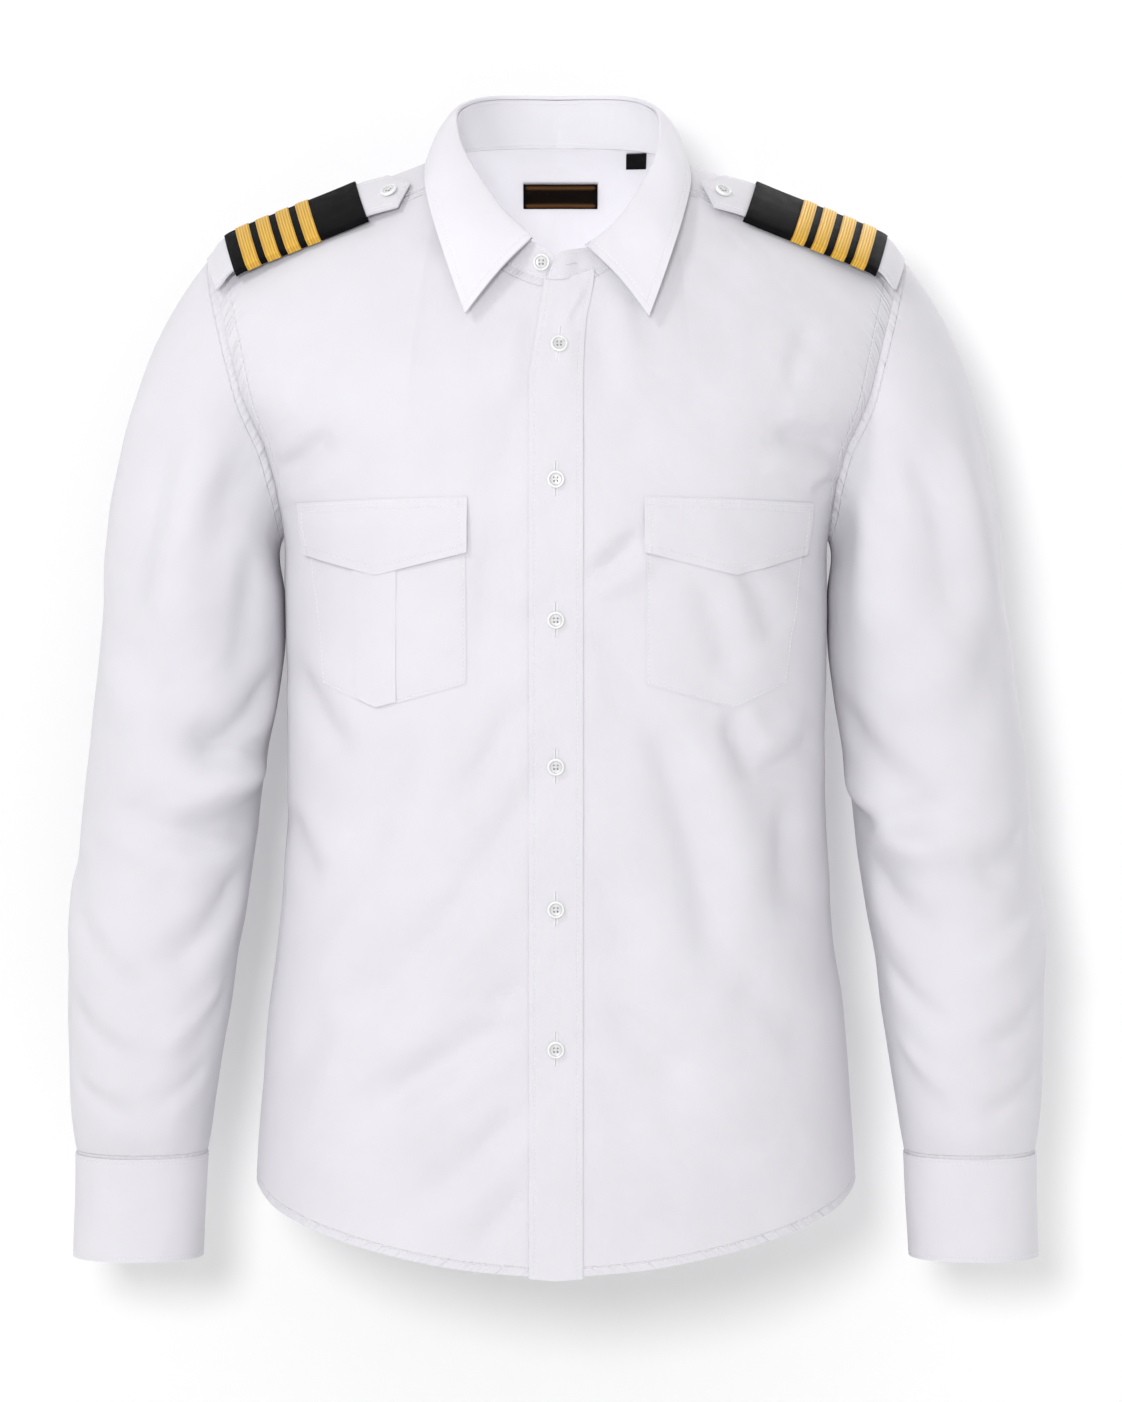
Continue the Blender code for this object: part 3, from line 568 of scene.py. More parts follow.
def neck_path():
    """Edge of the body round the neck, from the middle of the back to just past the front middle."""
    points = [shoulder_point(x, angle) for x, angle in NECK_YOKE]
    for x in (72, 64, 52, 38, 24, 12, 0, -6.8):
        z = look_up(NECK_FRONT, x, 1)
        points.append(np.array([x, front_depth(x, z), z]))
    return np.array(points)


def stand_half(share, lapped, count):
    """Half of the collar stand as rows from its seam up to the fold."""
    low = path(neck_path(), share) + (0, 0, -0.5)
    high = path(STAND_TOP, share)
    rows = np.array([low + (high - low) * up for up in np.linspace(0, 1, count)])
    if lapped:
        over = np.clip((14 - rows[..., 0]) / 8, 0, 1) * (rows[..., 1] < -60)
        rows[..., 1] -= STAND_LAP * eased(over)
    return rows


def leaf_half(share, count):
    """Half of the collar leaf as rows from inside its fold to its outer edge."""
    fold, edge = path([row[:3] for row in LEAF], share), path([row[3:] for row in LEAF], share)
    along = np.gradient(fold, axis=0)
    out = unit(np.cross(along, (0, 0, 1)))
    out *= np.sign((out * (edge - fold)).sum(axis=-1).mean())
    square = unit(np.cross(along, edge - fold))
    square *= np.where((square * out).sum(axis=-1, keepdims=True) < 0, -1, 1)
    short = np.clip((1 - share) / 0.05, 0, 1)[:, None]
    rows = []
    for inward, rise in LEAF_LIP:
        rows.append(fold - out * (inward * short + 0.3) + np.array((0, 0, 1.0)) * rise * short)
    for down in np.linspace(0.04, 1.0, count - len(rows)):
        bulge = LEAF_BULGE * math.sin(math.pi * min(1.0, down * 0.92 + 0.06))
        rows.append(fold + (edge - fold) * down + square * bulge)
    return np.array(rows)


def board_lift(x):
    """Height of the board's upper face over the shoulder, which is more inside the slider."""
    return look_up(BOARD_LIFT, x, 1)


def inside_shoulder(x, angle, depth):
    """Points below the outside of the shoulder or the upper back."""
    along = shoulder_point(x + 0.5, angle) - shoulder_point(x - 0.5, angle)
    over = shoulder_point(x, angle + 0.004) - shoulder_point(x, angle - 0.004)
    return shoulder_point(x, angle) - unit(np.cross(along, over)) * depth


def placket_x(across, z):
    """Sideways place of a point of the placket, which turns to the wearer's left under the collar."""
    turn_right, turn_left = look_up(PLACKET_TURN, z, 1), look_up(PLACKET_TURN, z, 2)
    return across + turn_right + (turn_left - turn_right) * (across / PLACKET_HALF_WIDTH + 1) / 2


# ---------------------------------------------------------------- reliefs: creases and soft folds


def line_folds(x, z, table):
    """Height of the folds of a table at places on a surface: ridges are positive, troughs negative."""
    height = np.zeros(np.broadcast(x, z).shape)
    for x0, z0, x1, z1, width, deep, bow in table:
        run = math.hypot(x1 - x0, z1 - z0)
        along_x, along_z = (x1 - x0) / run, (z1 - z0) / run
        t = ((x - x0) * along_x + (z - z0) * along_z) / run
        off = (x - x0) * -along_z + (z - z0) * along_x - bow * 4 * t * (1 - t)
        taper = np.exp(-np.clip(np.abs(t - 0.5) - 0.22, 0, None) ** 2 / 0.035)
        reach = width * (0.75 + 0.5 * np.clip(t, 0, 1))
        core = np.exp(-((off / reach) ** 2))
        lee = np.exp(-(((off - 1.7 * reach) / (1.25 * reach)) ** 2))
        height = height + deep * taper * (core - 0.42 * lee)
    return height


def ripple(x, z, pitch, seed):
    """A slow uneven wave between -1 and 1, the same on every run."""
    a = np.sin(x / pitch * 2.1 + seed * 1.7 + 1.3 * np.sin(z / pitch * 0.9 + seed))
    b = np.sin(z / pitch * 1.7 + seed * 2.3 + 1.1 * np.sin(x / pitch * 1.3 - seed))
    c = np.sin((x + z) / pitch * 1.1 + seed * 0.7)
    return (a * b + 0.5 * c * b) / 1.5


# Folds of the fronts: x and z of both ends, half width, height over the cloth, bow
FRONT_FOLDS = (
    (-36, -240, -46, -372, 13, -3.4, -3),
    (-20, -165, -50, -240, 15, -2.2, 3),
    (-20, -352, -56, -436, 12, -3.6, -3),
    (-14, -405, -60, -486, 12, -3.2, 4),
    (-44, -466, -136, -574, 15, -4.6, 5),
    (-16, -538, -44, -560, 7, -2.2, 1),
    (-14, -560, -136, -640, 12, -4.4, -4),
    (-60, -588, -112, -622, 9, -1.6, 0),
    (-14, -616, -96, -694, 12, -4.2, 3),
    (-16, -668, -56, -716, 9, -2.4, 2),
    (-96, -366, -145, -500, 15, -3.2, 5),
    (-176, -330, -134, -400, 10, -3.6, -3),
    (-178, -430, -156, -484, 9, -3.2, -2),
    (-120, -480, -165, -560, 13, 2.4, 3),
    (-150, -560, -190, -640, 12, -2.2, 3),
    (-184, -212, -146, -184, 7, -3.6, -3),
    (-186, -232, -128, -204, 8, 2.2, -3),
    (-172, -170, -160, -142, 8, -1.8, 0),
    (-34, -96, -58, -150, 9, -1.8, 2),
    (-24, -104, -30, -170, 8, 1.8, 1),
    (-96, -62, -60, -88, 12, 1.8, 2),
    (-76, -120, -150, -176, 24, 1.4, 4),
    (20, -278, 58, -250, 6, -2.6, -1),
    (20, -292, 66, -262, 7, 2.2, -2),
    (56, -360, 108, -540, 13, -4.8, 7),
    (92, -372, 136, -500, 17, 3.4, 5),
    (112, -366, 136, -412, 9, -4.0, -4),
    (130, -408, 174, -384, 9, -3.8, -5),
    (154, -424, 160, -506, 11, -3.4, -6),
    (118, -268, 146, -330, 9, -2.6, 2),
    (92, -280, 116, -350, 12, -2.6, 2),
    (30, -300, 46, -390, 14, -1.8, 4),
    (26, -460, 52, -540, 14, -2.2, 3),
    (30, -552, 92, -608, 12, -3.2, -2),
    (60, -628, 130, -664, 11, -2.0, -3),
    (22, -600, 60, -640, 9, -1.6, 0),
    (110, -540, 176, -600, 13, -2.6, 5),
    (24, -660, 74, -694, 9, 1.6, -1),
    (140, -186, 186, -196, 7, -3.6, 3),
    (130, -206, 188, -216, 8, 2.4, 3),
    (166, -226, 188, -214, 5, -2.6, 0),
    (152, -160, 170, -112, 8, -1.8, 2),
    (28, -100, 34, -170, 9, -1.8, -2),
    (42, -92, 50, -140, 8, 1.6, -1),
    (66, -118, 150, -184, 24, 1.4, -4),
    (116, -62, 74, -88, 12, 1.8, -2),
)

# Folds of the back: x and z of both ends, half width, height over the cloth, bow
BACK_FOLDS = (
    (-150, -190, -60, -330, 22, -4.0, 8),
    (150, -200, 70, -350, 20, -3.6, -8),
    (-170, -420, -30, -480, 20, -5.0, 10),
    (165, -400, 20, -460, 18, -4.6, -9),
    (-160, -370, -40, -420, 16, 4.0, 6),
    (150, -460, 30, -520, 18, 4.2, -8),
    (-60, -480, -130, -640, 20, 3.4, 6),
    (70, -520, 120, -680, 20, -3.4, -6),
    (0, -500, 10, -700, 22, 3.0, 6),
    (-30, -130, -20, -260, 18, -2.4, 3),
    (60, -130, 50, -250, 20, 2.4, 3),
    (-110, -560, -160, -680, 15, -3.0, 4),
)

# Folds of the sleeves: distance round from the outside towards the front, and height, of both ends;
# half width, height over the cloth, bow
SLEEVE_RIGHT_FOLDS = (
    (156, -340, 96, -412, 11, -5.4, 6),
    (164, -398, 84, -384, 11, -5.6, 5),
    (178, -410, 70, -450, 12, 5.5, -6),
    (172, -445, 60, -440, 12, -5.0, 8),
    (20, -330, 100, -430, 16, 3.6, 6),
    (60, -170, 44, -330, 14, -4.0, 6),
    (96, -190, 80, -330, 15, 3.6, -6),
    (20, -130, 10, -320, 16, 2.6, 4),
    (130, -260, 118, -360, 12, -3.4, 4),
    (24, -500, 92, -560, 8.6, -2.5, -3.1),
    (150, -470, 92, -545, 12, -4.4, 7),
    (24, -560, 92, -606, 7.9, -2.4, -3.1),
    (150, -545, 96, -600, 7.9, 2.2, 2.7),
    (26, -612, 90, -640, 6.5, -2.1, -2.2),
    (146, -600, 94, -636, 7.2, -2.1, 2.2),
    (40, -452, 120, -476, 13, 3.4, 5),
    (-10, -470, 40, -540, 14, 3.0, -5),
    (210, -350, 260, -430, 14, -4.6, 6),
    (250, -400, 190, -470, 14, 4.4, 5),
    (280, -300, 250, -440, 16, -4.0, 5),
    (300, -480, 250, -600, 14, 4.0, 6),
    (230, -520, 280, -640, 13, -3.8, 5),
    (320, -200, 310, -330, 16, -3.2, 5),
    (270, -160, 262, -280, 15, 3.2, 4),
)
SLEEVE_LEFT_FOLDS = (
    (160, -356, 90, -440, 13, -4.2, 7),
    (176, -400, 80, -476, 12, 5.0, 7),
    (170, -440, 76, -430, 11, -5.4, 8),
    (30, -300, 90, -400, 16, -3.2, -6),
    (50, -170, 36, -330, 15, 3.6, 5),
    (88, -180, 76, -320, 14, -3.8, -5),
    (124, -210, 116, -340, 14, 3.4, 5),
    (16, -140, 8, -330, 15, -2.4, 4),
    (22, -440, 84, -480, 12, -4.4, -7),
    (152, -470, 88, -520, 12, -4.6, 7),
    (20, -500, 86, -545, 8.6, 2.2, -3.1),
    (150, -535, 90, -585, 7.9, -2.4, 3.1),
    (24, -560, 88, -598, 7.9, -2.4, -2.7),
    (148, -585, 92, -628, 7.2, 2.1, 2.2),
    (26, -610, 88, -640, 6.5, -2.1, -2.2),
    (-14, -440, 30, -560, 14, 3.2, -5),
    (214, -360, 262, -440, 14, -4.6, 6),
    (252, -410, 196, -480, 14, 4.4, 5),
    (284, -310, 256, -450, 16, -4.0, 5),
    (296, -490, 250, -610, 14, 4.0, 6),
    (236, -530, 284, -650, 13, -3.8, 5),
    (318, -210, 306, -340, 16, -3.2, 5),
)


def front_relief(x, z):
    """Height of the cloth of the fronts over the plain form."""
    height = 1.3 * line_folds(x, z, FRONT_FOLDS) + 0.6 * ripple(x, z, 55, 1.0) + 0.25 * ripple(x, z, 21, 6.0)
    closing = 1 - 0.65 * np.exp(-((x / 22) ** 4))
    up = np.clip((z + 250) / 120, 0, 1)
    return height * closing * (1 - 0.2 * up)


def back_relief(x, z):
    """Height of the cloth of the back over the plain form."""
    height = 1.7 * line_folds(x, z, BACK_FOLDS) + 0.8 * ripple(x, z, 60, 2.0) + 0.25 * ripple(x, z, 22, 7.0)
    return height * np.clip((-105 - z) / 40, 0, 1)


def body_relief(grid):
    """Front and back reliefs, faded into each other at the side seams, which swell below the armpits."""
    x, y, z = grid[..., 0], grid[..., 1], grid[..., 2]
    share = eased(np.clip((y + 26) / 52, 0, 1))
    swell = 1.9 * np.exp(-((y / 42) ** 2) - ((z + 330) / 80) ** 2)
    return front_relief(x, z) * (1 - share) + back_relief(x, z) * share + swell


def sleeve_relief(side, angle, z):
    """Height of the cloth of a sleeve over the plain form, which swells towards the body."""
    table = SLEEVE_LEFT_FOLDS if side > 0 else SLEEVE_RIGHT_FOLDS
    full = 2 * math.pi * SLEEVE_GIRTH
    around = np.mod(angle, 2 * math.pi) * SLEEVE_GIRTH
    height = (0.7 * ripple(around, z, 48, 3.0 + side) + 0.25 * ripple(around, z, 20, 5.0)) * np.ones_like(z)
    for turn in (-full, 0, full):
        height = height + 1.15 * line_folds(around + turn, z, table)
    quiet = np.clip((-78 - z) / 60, 0, 1) * np.clip((z + 668) / 22, 0, 1)
    swell = 4.3 * np.exp(-(((around - full / 2) / 40) ** 2) - ((z + 312) / 54) ** 2)
    return height * quiet + swell


# ---------------------------------------------------------------- fine grids


def normals_of(grid, closed=False):
    """Unit normals of a grid of points, rows by columns."""
    if closed:
        across = (np.roll(grid, -1, axis=1) - np.roll(grid, 1, axis=1)) / 2
    else:
        across = np.gradient(grid, axis=1)
    return unit(np.cross(across, np.gradient(grid, axis=0)))


def raised(grid, height, outward, closed=False):
    """A grid moved along its normals, which are turned to agree with the outward hint."""
    normal = normals_of(grid, closed)
    sign = 1.0 if (normal * outward(grid)).sum() > 0 else -1.0
    return grid + sign * normal * height[..., None]


def front_fine(side, inner, columns, low_rows, high_rows):
    """A front: rows up from the hem to the armpit, then to the yoke seam and the neck."""
    share = edge_share(columns, SEAM_GAP, 230)
    start = body_turn(inner, -400.0)
    turn = start + (math.pi / 2 - start) * share
    width = spread(turn)
    even = (width - width[0]) / (width[-1] - width[0])
    rows = []
    for up in edge_share(low_rows, SEAM_GAP, 430)[:-1]:
        z = look_up(HEM, np.abs(width), 1) * (1 - up) + ARMPIT_HEIGHT * up
        x = inner + (look_up(BODY, z, 1) * width[-1] - inner) * even
        rows.append(np.stack([x, -section_depth(x, z, 2), z], axis=-1))
    top_x = inner + (FRONT_TOP_EDGE - SEAM_GAP - inner) * share
    top_z = np.where(top_x < NECK_POINT, look_up(NECK_FRONT, top_x, 1), ridge_height(top_x) - YOKE_SEAM_DROP)
    for up in np.linspace(0, 1, high_rows):
        z = ARMPIT_HEIGHT + (top_z - SEAM_GAP - ARMPIT_HEIGHT) * up
        edge = look_up(ARMHOLE, z[-1], 1) - SEAM_GAP
        x = inner + (edge - inner) * (even * (1 - up) + share * up)
        rows.append(np.stack([x, front_depth(x, z), z], axis=-1))
    return np.array(rows) * (side, 1, 1)


def back_fine(columns, low_rows, high_rows):
    """The back: rows up from the hem to the armpit, then to the yoke seam."""
    share = edge_share(columns, SEAM_GAP, 520) * 2 - 1
    width = spread(share * math.pi / 2)
    rows = []
    for up in edge_share(low_rows, SEAM_GAP, 430)[:-1]:
        z = look_up(HEM, np.abs(width), 2) * (1 - up) + ARMPIT_HEIGHT * up
        x = look_up(BODY, z, 1) * width
        rows.append(np.stack([x, section_depth(x, z, 3), z], axis=-1))
    for up in np.linspace(0, 1, high_rows):
        top = yoke_seam_height(share * YOKE_SEAM_REACH)
        z = ARMPIT_HEIGHT + (top - SEAM_GAP - ARMPIT_HEIGHT) * up
        edge = look_up(ARMHOLE, z[-1], 1) - SEAM_GAP
        x = edge * (width * (1 - up) + share * up)
        rows.append(np.stack([x, back_depth(x, z), z], axis=-1))
    return np.array(rows)


def yoke_fine(columns, rows_count):
    """The yoke: rows from the back seam over the shoulders to the neck and the front seams."""
    share = np.linspace(0, 1, columns)
    top_x, top_angle = yoke_edge(share)
    foot_x = (look_up(ARMHOLE, YOKE_BACK_SIDE, 1) - SEAM_GAP) * share
    foot_angle = back_angle(foot_x, yoke_seam_height(foot_x) + SEAM_GAP / 2)
    rows = []
    for up in np.linspace(0, 1, rows_count):
        x = foot_x * (1 - up) + top_x * up
        angle = foot_angle * (1 - up) + top_angle * up
        x[-1] = armhole_reach(angle[-1:])[0] - SEAM_GAP
        half = shoulder_point(x, angle)
        rows.append(np.concatenate([half[:0:-1] * (-1, 1, 1), half]))
    return np.array(rows)


def sleeve_fine(side, columns, cap_rows, low_rows):
    """Points of a sleeve and the angle round it of each column."""
    angle = np.arange(columns) / columns * 2 * math.pi
    start = armhole_loop(columns)
    biceps = ring(section_at(SLEEVE, BICEPS_HEIGHT), angle)
    outward = (1 + np.cos(angle)) / 2
    leave = unit(np.stack([0.25 + 0.4 * outward, -0.22 * np.sin(angle), -0.35 - 0.4 * outward], axis=-1))
    start = start + leave * 0.8
    gap = np.linalg.norm(biceps - start, axis=-1, keepdims=True)
    below = np.array([0.05, 0, -1.0])
    rows = [hermite(t, start, biceps, leave * gap * 1.1, below * gap) for t in np.linspace(0, 1, cap_rows)]
    for height in np.linspace(BICEPS_HEIGHT, CUFF_SEAM_HEIGHT, low_rows)[1:]:
        rows.append(ring(section_at(SLEEVE, height), angle))
    return np.array(rows) * (side, 1, 1), angle


# ---------------------------------------------------------------- meshes


# Fields that every point of the cloth carries, and their usual values: its distances from up to three seams,
# its length along them, and how strongly they pucker
NO_SEAM = 99.0
FIELDS = {"seam_a": NO_SEAM, "seam_b": NO_SEAM, "seam_c": NO_SEAM, "pucker": NO_SEAM, "pull": 0.25}
STRONG_PULL = 1.3


def linked(obj):
    bpy.context.scene.collection.objects.link(obj)
    return obj


def mesh_object(name, points, faces, material, crisp=None):
    """An object with a smooth mesh; edges between two crisp points stay sharp."""
    mesh = bpy.data.meshes.new(name)
    points = np.asarray(points, float).reshape(-1, 3) * MM
    mesh.vertices.add(len(points))
    mesh.vertices.foreach_set("co", points.ravel())
    mesh.loops.add(faces.size)
    mesh.loops.foreach_set("vertex_index", faces.ravel())
    mesh.polygons.add(len(faces))
    mesh.polygons.foreach_set("loop_start", np.arange(len(faces)) * faces.shape[1])
    mesh.polygons.foreach_set("use_smooth", np.full(len(faces), True))
    mesh.update(calc_edges=True)
    if crisp is not None:
        ends = np.zeros(len(mesh.edges) * 2, int)
        mesh.edges.foreach_get("vertices", ends)
        layer = mesh.attributes.new("sharp_edge", "BOOLEAN", "EDGE")
        layer.data.foreach_set("value", crisp[ends].reshape(-1, 2).all(axis=1))
    mesh.materials.append(material)
    return linked(bpy.data.objects.new(name, mesh))


def quads(rows, columns, closed=False):
    """Corner numbers of the faces of a grid."""
    number = np.arange(rows * columns).reshape(rows, columns)
    right = np.roll(number, -1, axis=1)
    if not closed:
        number, right = number[:, :-1], right[:, :-1]
    faces = np.stack([number[:-1], right[:-1], right[1:], number[1:]], axis=-1)
    return faces.reshape(-1, 4)


def lengths(grid, axis):
    """Length of the cloth from the first row (axis 0) or column (axis 1) to every point."""
    step = np.linalg.norm(np.diff(grid, axis=axis), axis=-1)
    zero = np.zeros_like(np.take(step, [0], axis=axis))
    return np.cumsum(np.concatenate([zero, step], axis=axis), axis=axis)


def with_tuck(grid, fields, where, run, depth, inward):
    """A grid with one more row or column that runs on past an edge and dips under the neighbouring piece."""
    flip = where in ("left", "right")
    if flip:
        grid, inward = np.swapaxes(grid, 0, 1), np.swapaxes(inward, 0, 1)
        fields = {key: value.T for key, value in fields.items()}
    end, before = (0, 1) if where in ("first", "left") else (-1, -2)
    extra = (grid[end] + unit(grid[end] - grid[before]) * run + inward[end] * depth)[None]
    order = (lambda a, c: np.concatenate([c, a])) if end == 0 else (lambda a, c: np.concatenate([a, c]))
    grid = order(grid, extra)
    fields = {key: order(value, value[end][None]) for key, value in fields.items()}
    if flip:
        grid = np.swapaxes(grid, 0, 1)
        fields = {key: value.T for key, value in fields.items()}
    return grid, fields


def cloth(name, grid, material, outward, wall=1.0, closed=False, fields=None, tucks=()):
    """A shell of cloth on a grid whose outer face is the grid, with its weave coordinates in millimetres."""
    rows, columns = grid.shape[:2]
    across, middle = lengths(grid, 1), columns // 2
    layers = {"weave_across": across - across[:, middle : middle + 1], "weave_down": lengths(grid, 0)}
    for key, usual in FIELDS.items():
        layers[key] = np.broadcast_to((fields or {}).get(key, usual), (rows, columns))
    for where, run, depth in tucks:
        inward = normals_of(grid, closed)
        inward = inward * (-1.0 if (inward * outward(grid)).sum() > 0 else 1.0)
        grid, layers = with_tuck(grid, layers, where, run, depth, inward)
    rows, columns = grid.shape[:2]
    faces = quads(rows, columns, closed)
    if (normals_of(grid, closed) * outward(grid)).sum() < 0:
        faces = faces[:, ::-1]
    border = np.zeros((rows, columns), bool)
    border[[0, -1]] = True
    if not closed:
        border[:, [0, -1]] = True
    obj = mesh_object(name, grid, faces, material, border.ravel())
    for key, values in layers.items():
        layer = obj.data.attributes.new(key, "FLOAT", "POINT")
        layer.data.foreach_set("value", np.asarray(values, np.float32).ravel())
    solidify = obj.modifiers.new("Wall", "SOLIDIFY")
    solidify.thickness = wall * MM
    solidify.offset = -1
    solidify.use_rim = True
    return obj


def edge_distance(grid, where):
    """Length of the cloth from an edge of a grid: first or last row, left or right column, or two of them."""
    if where == "sides":
        return np.minimum(edge_distance(grid, "left"), edge_distance(grid, "right"))
    if where == "corner":
        return edge_distance(grid, "first") + edge_distance(grid, "left")
    run = lengths(grid, 0 if where in ("first", "last") else 1)
    if where in ("first", "left"):
        return run
    return (run[-1:] if where == "last" else run[:, -1:]) - run


def seams(grid, added, *edges, **others):
    """Fields of a piece: its distances from sewn edges, with a length added, and others as given."""

    def measured(value, more=0.0):
        return edge_distance(grid, value) + more if isinstance(value, str) else value

    fields = {key: measured(edge, added) for key, edge in zip(FIELDS, edges)}
    fields.update({key: measured(value) for key, value in others.items()})
    return fields


def track(grid, where, offset, start=0.0, end=1.0):
    """Points of a line on a grid at a distance from one of its edges."""
    run = edge_distance(grid, where)
    if where in ("left", "right"):
        grid, run = np.swapaxes(grid, 0, 1), run.T
    if where in ("last", "right"):
        grid, run = grid[::-1], run[::-1]
    last = grid.shape[1] - 1
    columns = range(int(start * last), int(round(end * last)) + 1)
    return np.array([[np.interp(offset, run[:, k], grid[:, k, axis]) for axis in range(3)] for k in columns])


def stitches(name, lines, material, outward, pitch=2.9, length=2.25, radius=0.2):
    """Rows of stitches: short threads along lines on the cloth, their ends sunk into it."""
    sides = 5
    turn = np.arange(sides) / sides * 2 * math.pi
    rings = np.array([0.0, 0.18, 0.5, 0.82, 1.0])
    lifts = np.array([-0.16, 0.06, 0.13, 0.06, -0.16])
    swell = np.array([0.5, 1.0, 1.05, 1.0, 0.5])
    points, faces, count = [], [], 0
    for line in lines:
        run = np.concatenate([[0], np.cumsum(np.linalg.norm(np.diff(line, axis=0), axis=1))])
        number = int(run[-1] / pitch)
        if number < 1:
            continue
        at = (np.arange(number)[:, None] + 0.12) * pitch + rings[None] * length
        centre = np.stack([np.interp(at, run, line[:, k]) for k in range(3)], axis=-1)
        ahead = unit(centre[:, -1] - centre[:, 0])
        up = outward(centre[:, 2])
        up = unit(up - (up * ahead).sum(-1, keepdims=True) * ahead)
        beside = np.cross(ahead, up)
        around = np.cos(turn)[:, None] * up[:, None] + np.sin(turn)[:, None] * beside[:, None]
        body = centre[:, :, None] + up[:, None, None] * lifts[None, :, None, None]
        body = body + around[:, None] * (radius * swell)[None, :, None, None]
        offset = np.arange(number)[:, None, None] * len(rings) * sides + count
        points.append(body.reshape(-1, 3))
        faces.append((quads(len(rings), sides, closed=True)[None] + offset).reshape(-1, 4))
        count += number * len(rings) * sides
    return mesh_object(name, np.concatenate(points), np.concatenate(faces), material)


# ---------------------------------------------------------------- materials


class Nodes:
    """Short names for building a node tree."""

    def __init__(self, name, roughness, **values):
        self.material = bpy.data.materials.new(name)
        self.material.use_nodes = True
        self.tree = self.material.node_tree
        self.shader = self.tree.nodes["Principled BSDF"]
        for key, value in {"Roughness": roughness, **values}.items():
            self.shader.inputs[key.replace("_", " ")].default_value = value

    def new(self, kind, **settings):
        node = self.tree.nodes.new(kind)
        for key, value in settings.items():
            setattr(node, key, value)
        return node

    def link(self, source, target):
        self.tree.links.new(source, target)

    def feed(self, sockets, values):
        """Numbers are set and outputs of other nodes linked."""
        for socket, value in zip(sockets, values):
            if isinstance(value, (int, float)):
                socket.default_value = value
            else:
                self.link(value, socket)

    def attribute(self, name):
        return self.new("ShaderNodeAttribute", attribute_name=name).outputs["Fac"]

    def weave(self):
        """Millimetres across and down the cloth."""
        return self.attribute("weave_across"), self.attribute("weave_down")

    def place(self):
        return self.new("ShaderNodeTexCoord").outputs["Object"]

    def axes(self):
        parts = self.new("ShaderNodeSeparateXYZ")
        self.link(self.place(), parts.inputs[0])
        return parts.outputs

    def math(self, operation, first, second=0.0):
        node = self.new("ShaderNodeMath", operation=operation)
        self.feed(node.inputs, (first, second))
        return node.outputs[0]

    def add(self, first, second):
        return self.math("ADD", first, second)

    def times(self, first, second):
        return self.math("MULTIPLY", first, second)

    def total(self, *terms):
        """Sum of values, each with its weight."""
        parts = [self.times(value, weight) for value, weight in terms]
        result = parts[0]
        for part in parts[1:]:
            result = self.add(result, part)
        return result

    def bell(self, value, centre, width):
        """1 at the centre, falling to 0 on both sides."""
        off = self.times(self.math("SUBTRACT", value, centre), 1 / width)
        return self.math("POWER", INVERSE_E, self.times(off, off))

    def wave(self, value, pitch):
        return self.math("SINE", self.times(value, 2 * math.pi / pitch))

    def vector(self, x, y, z=0.0):
        node = self.new("ShaderNodeCombineXYZ")
        self.feed(node.inputs, (x, y, z))
        return node.outputs[0]

    def noise(self, vector, scale, detail=3.0, roughness=0.55):
        node = self.new("ShaderNodeTexNoise")
        self.feed([node.inputs[key] for key in NOISE_INPUTS], (vector, scale, detail, roughness))
        return node.outputs["Fac"]

    def streaks(self, across, down, detail=2.0):
        """Noise drawn out along the yarns."""
        return self.noise(self.vector(across, down), 1.0, detail)

    def spread(self, value, low, high, out_low, out_high):
        node = self.new("ShaderNodeMapRange")
        self.feed([node.inputs[key] for key in RANGE_INPUTS], (value, low, high, out_low, out_high))
        return node.outputs["Result"]

    def colour(self, value, low, high, dark, light):
        """The surface runs from one colour to another, as a value runs from low to high."""
        node = self.new("ShaderNodeValToRGB")
        self.link(value, node.inputs["Fac"])
        for element, position, colour in zip(node.color_ramp.elements, (low, high), (dark, light)):
            element.position = position
            element.color = (*colour, 1)
        self.link(node.outputs["Color"], self.shader.inputs["Base Color"])

    def rough(self, value, low, high, out_low, out_high):
        self.link(self.spread(value, low, high, out_low, out_high), self.shader.inputs["Roughness"])

    def bump(self, height, metres, below=None):
        """Bump of a height field: 1 stands for this many metres."""
        node = self.new("ShaderNodeBump")
        self.feed([node.inputs[key] for key in ("Strength", "Distance", "Height")], (1.0, metres, height))
        if below is not None:
            self.link(below, node.inputs["Normal"])
        return node.outputs["Normal"]

    def finish(self, normal):
        self.link(normal, self.shader.inputs["Normal"])
        return self.material


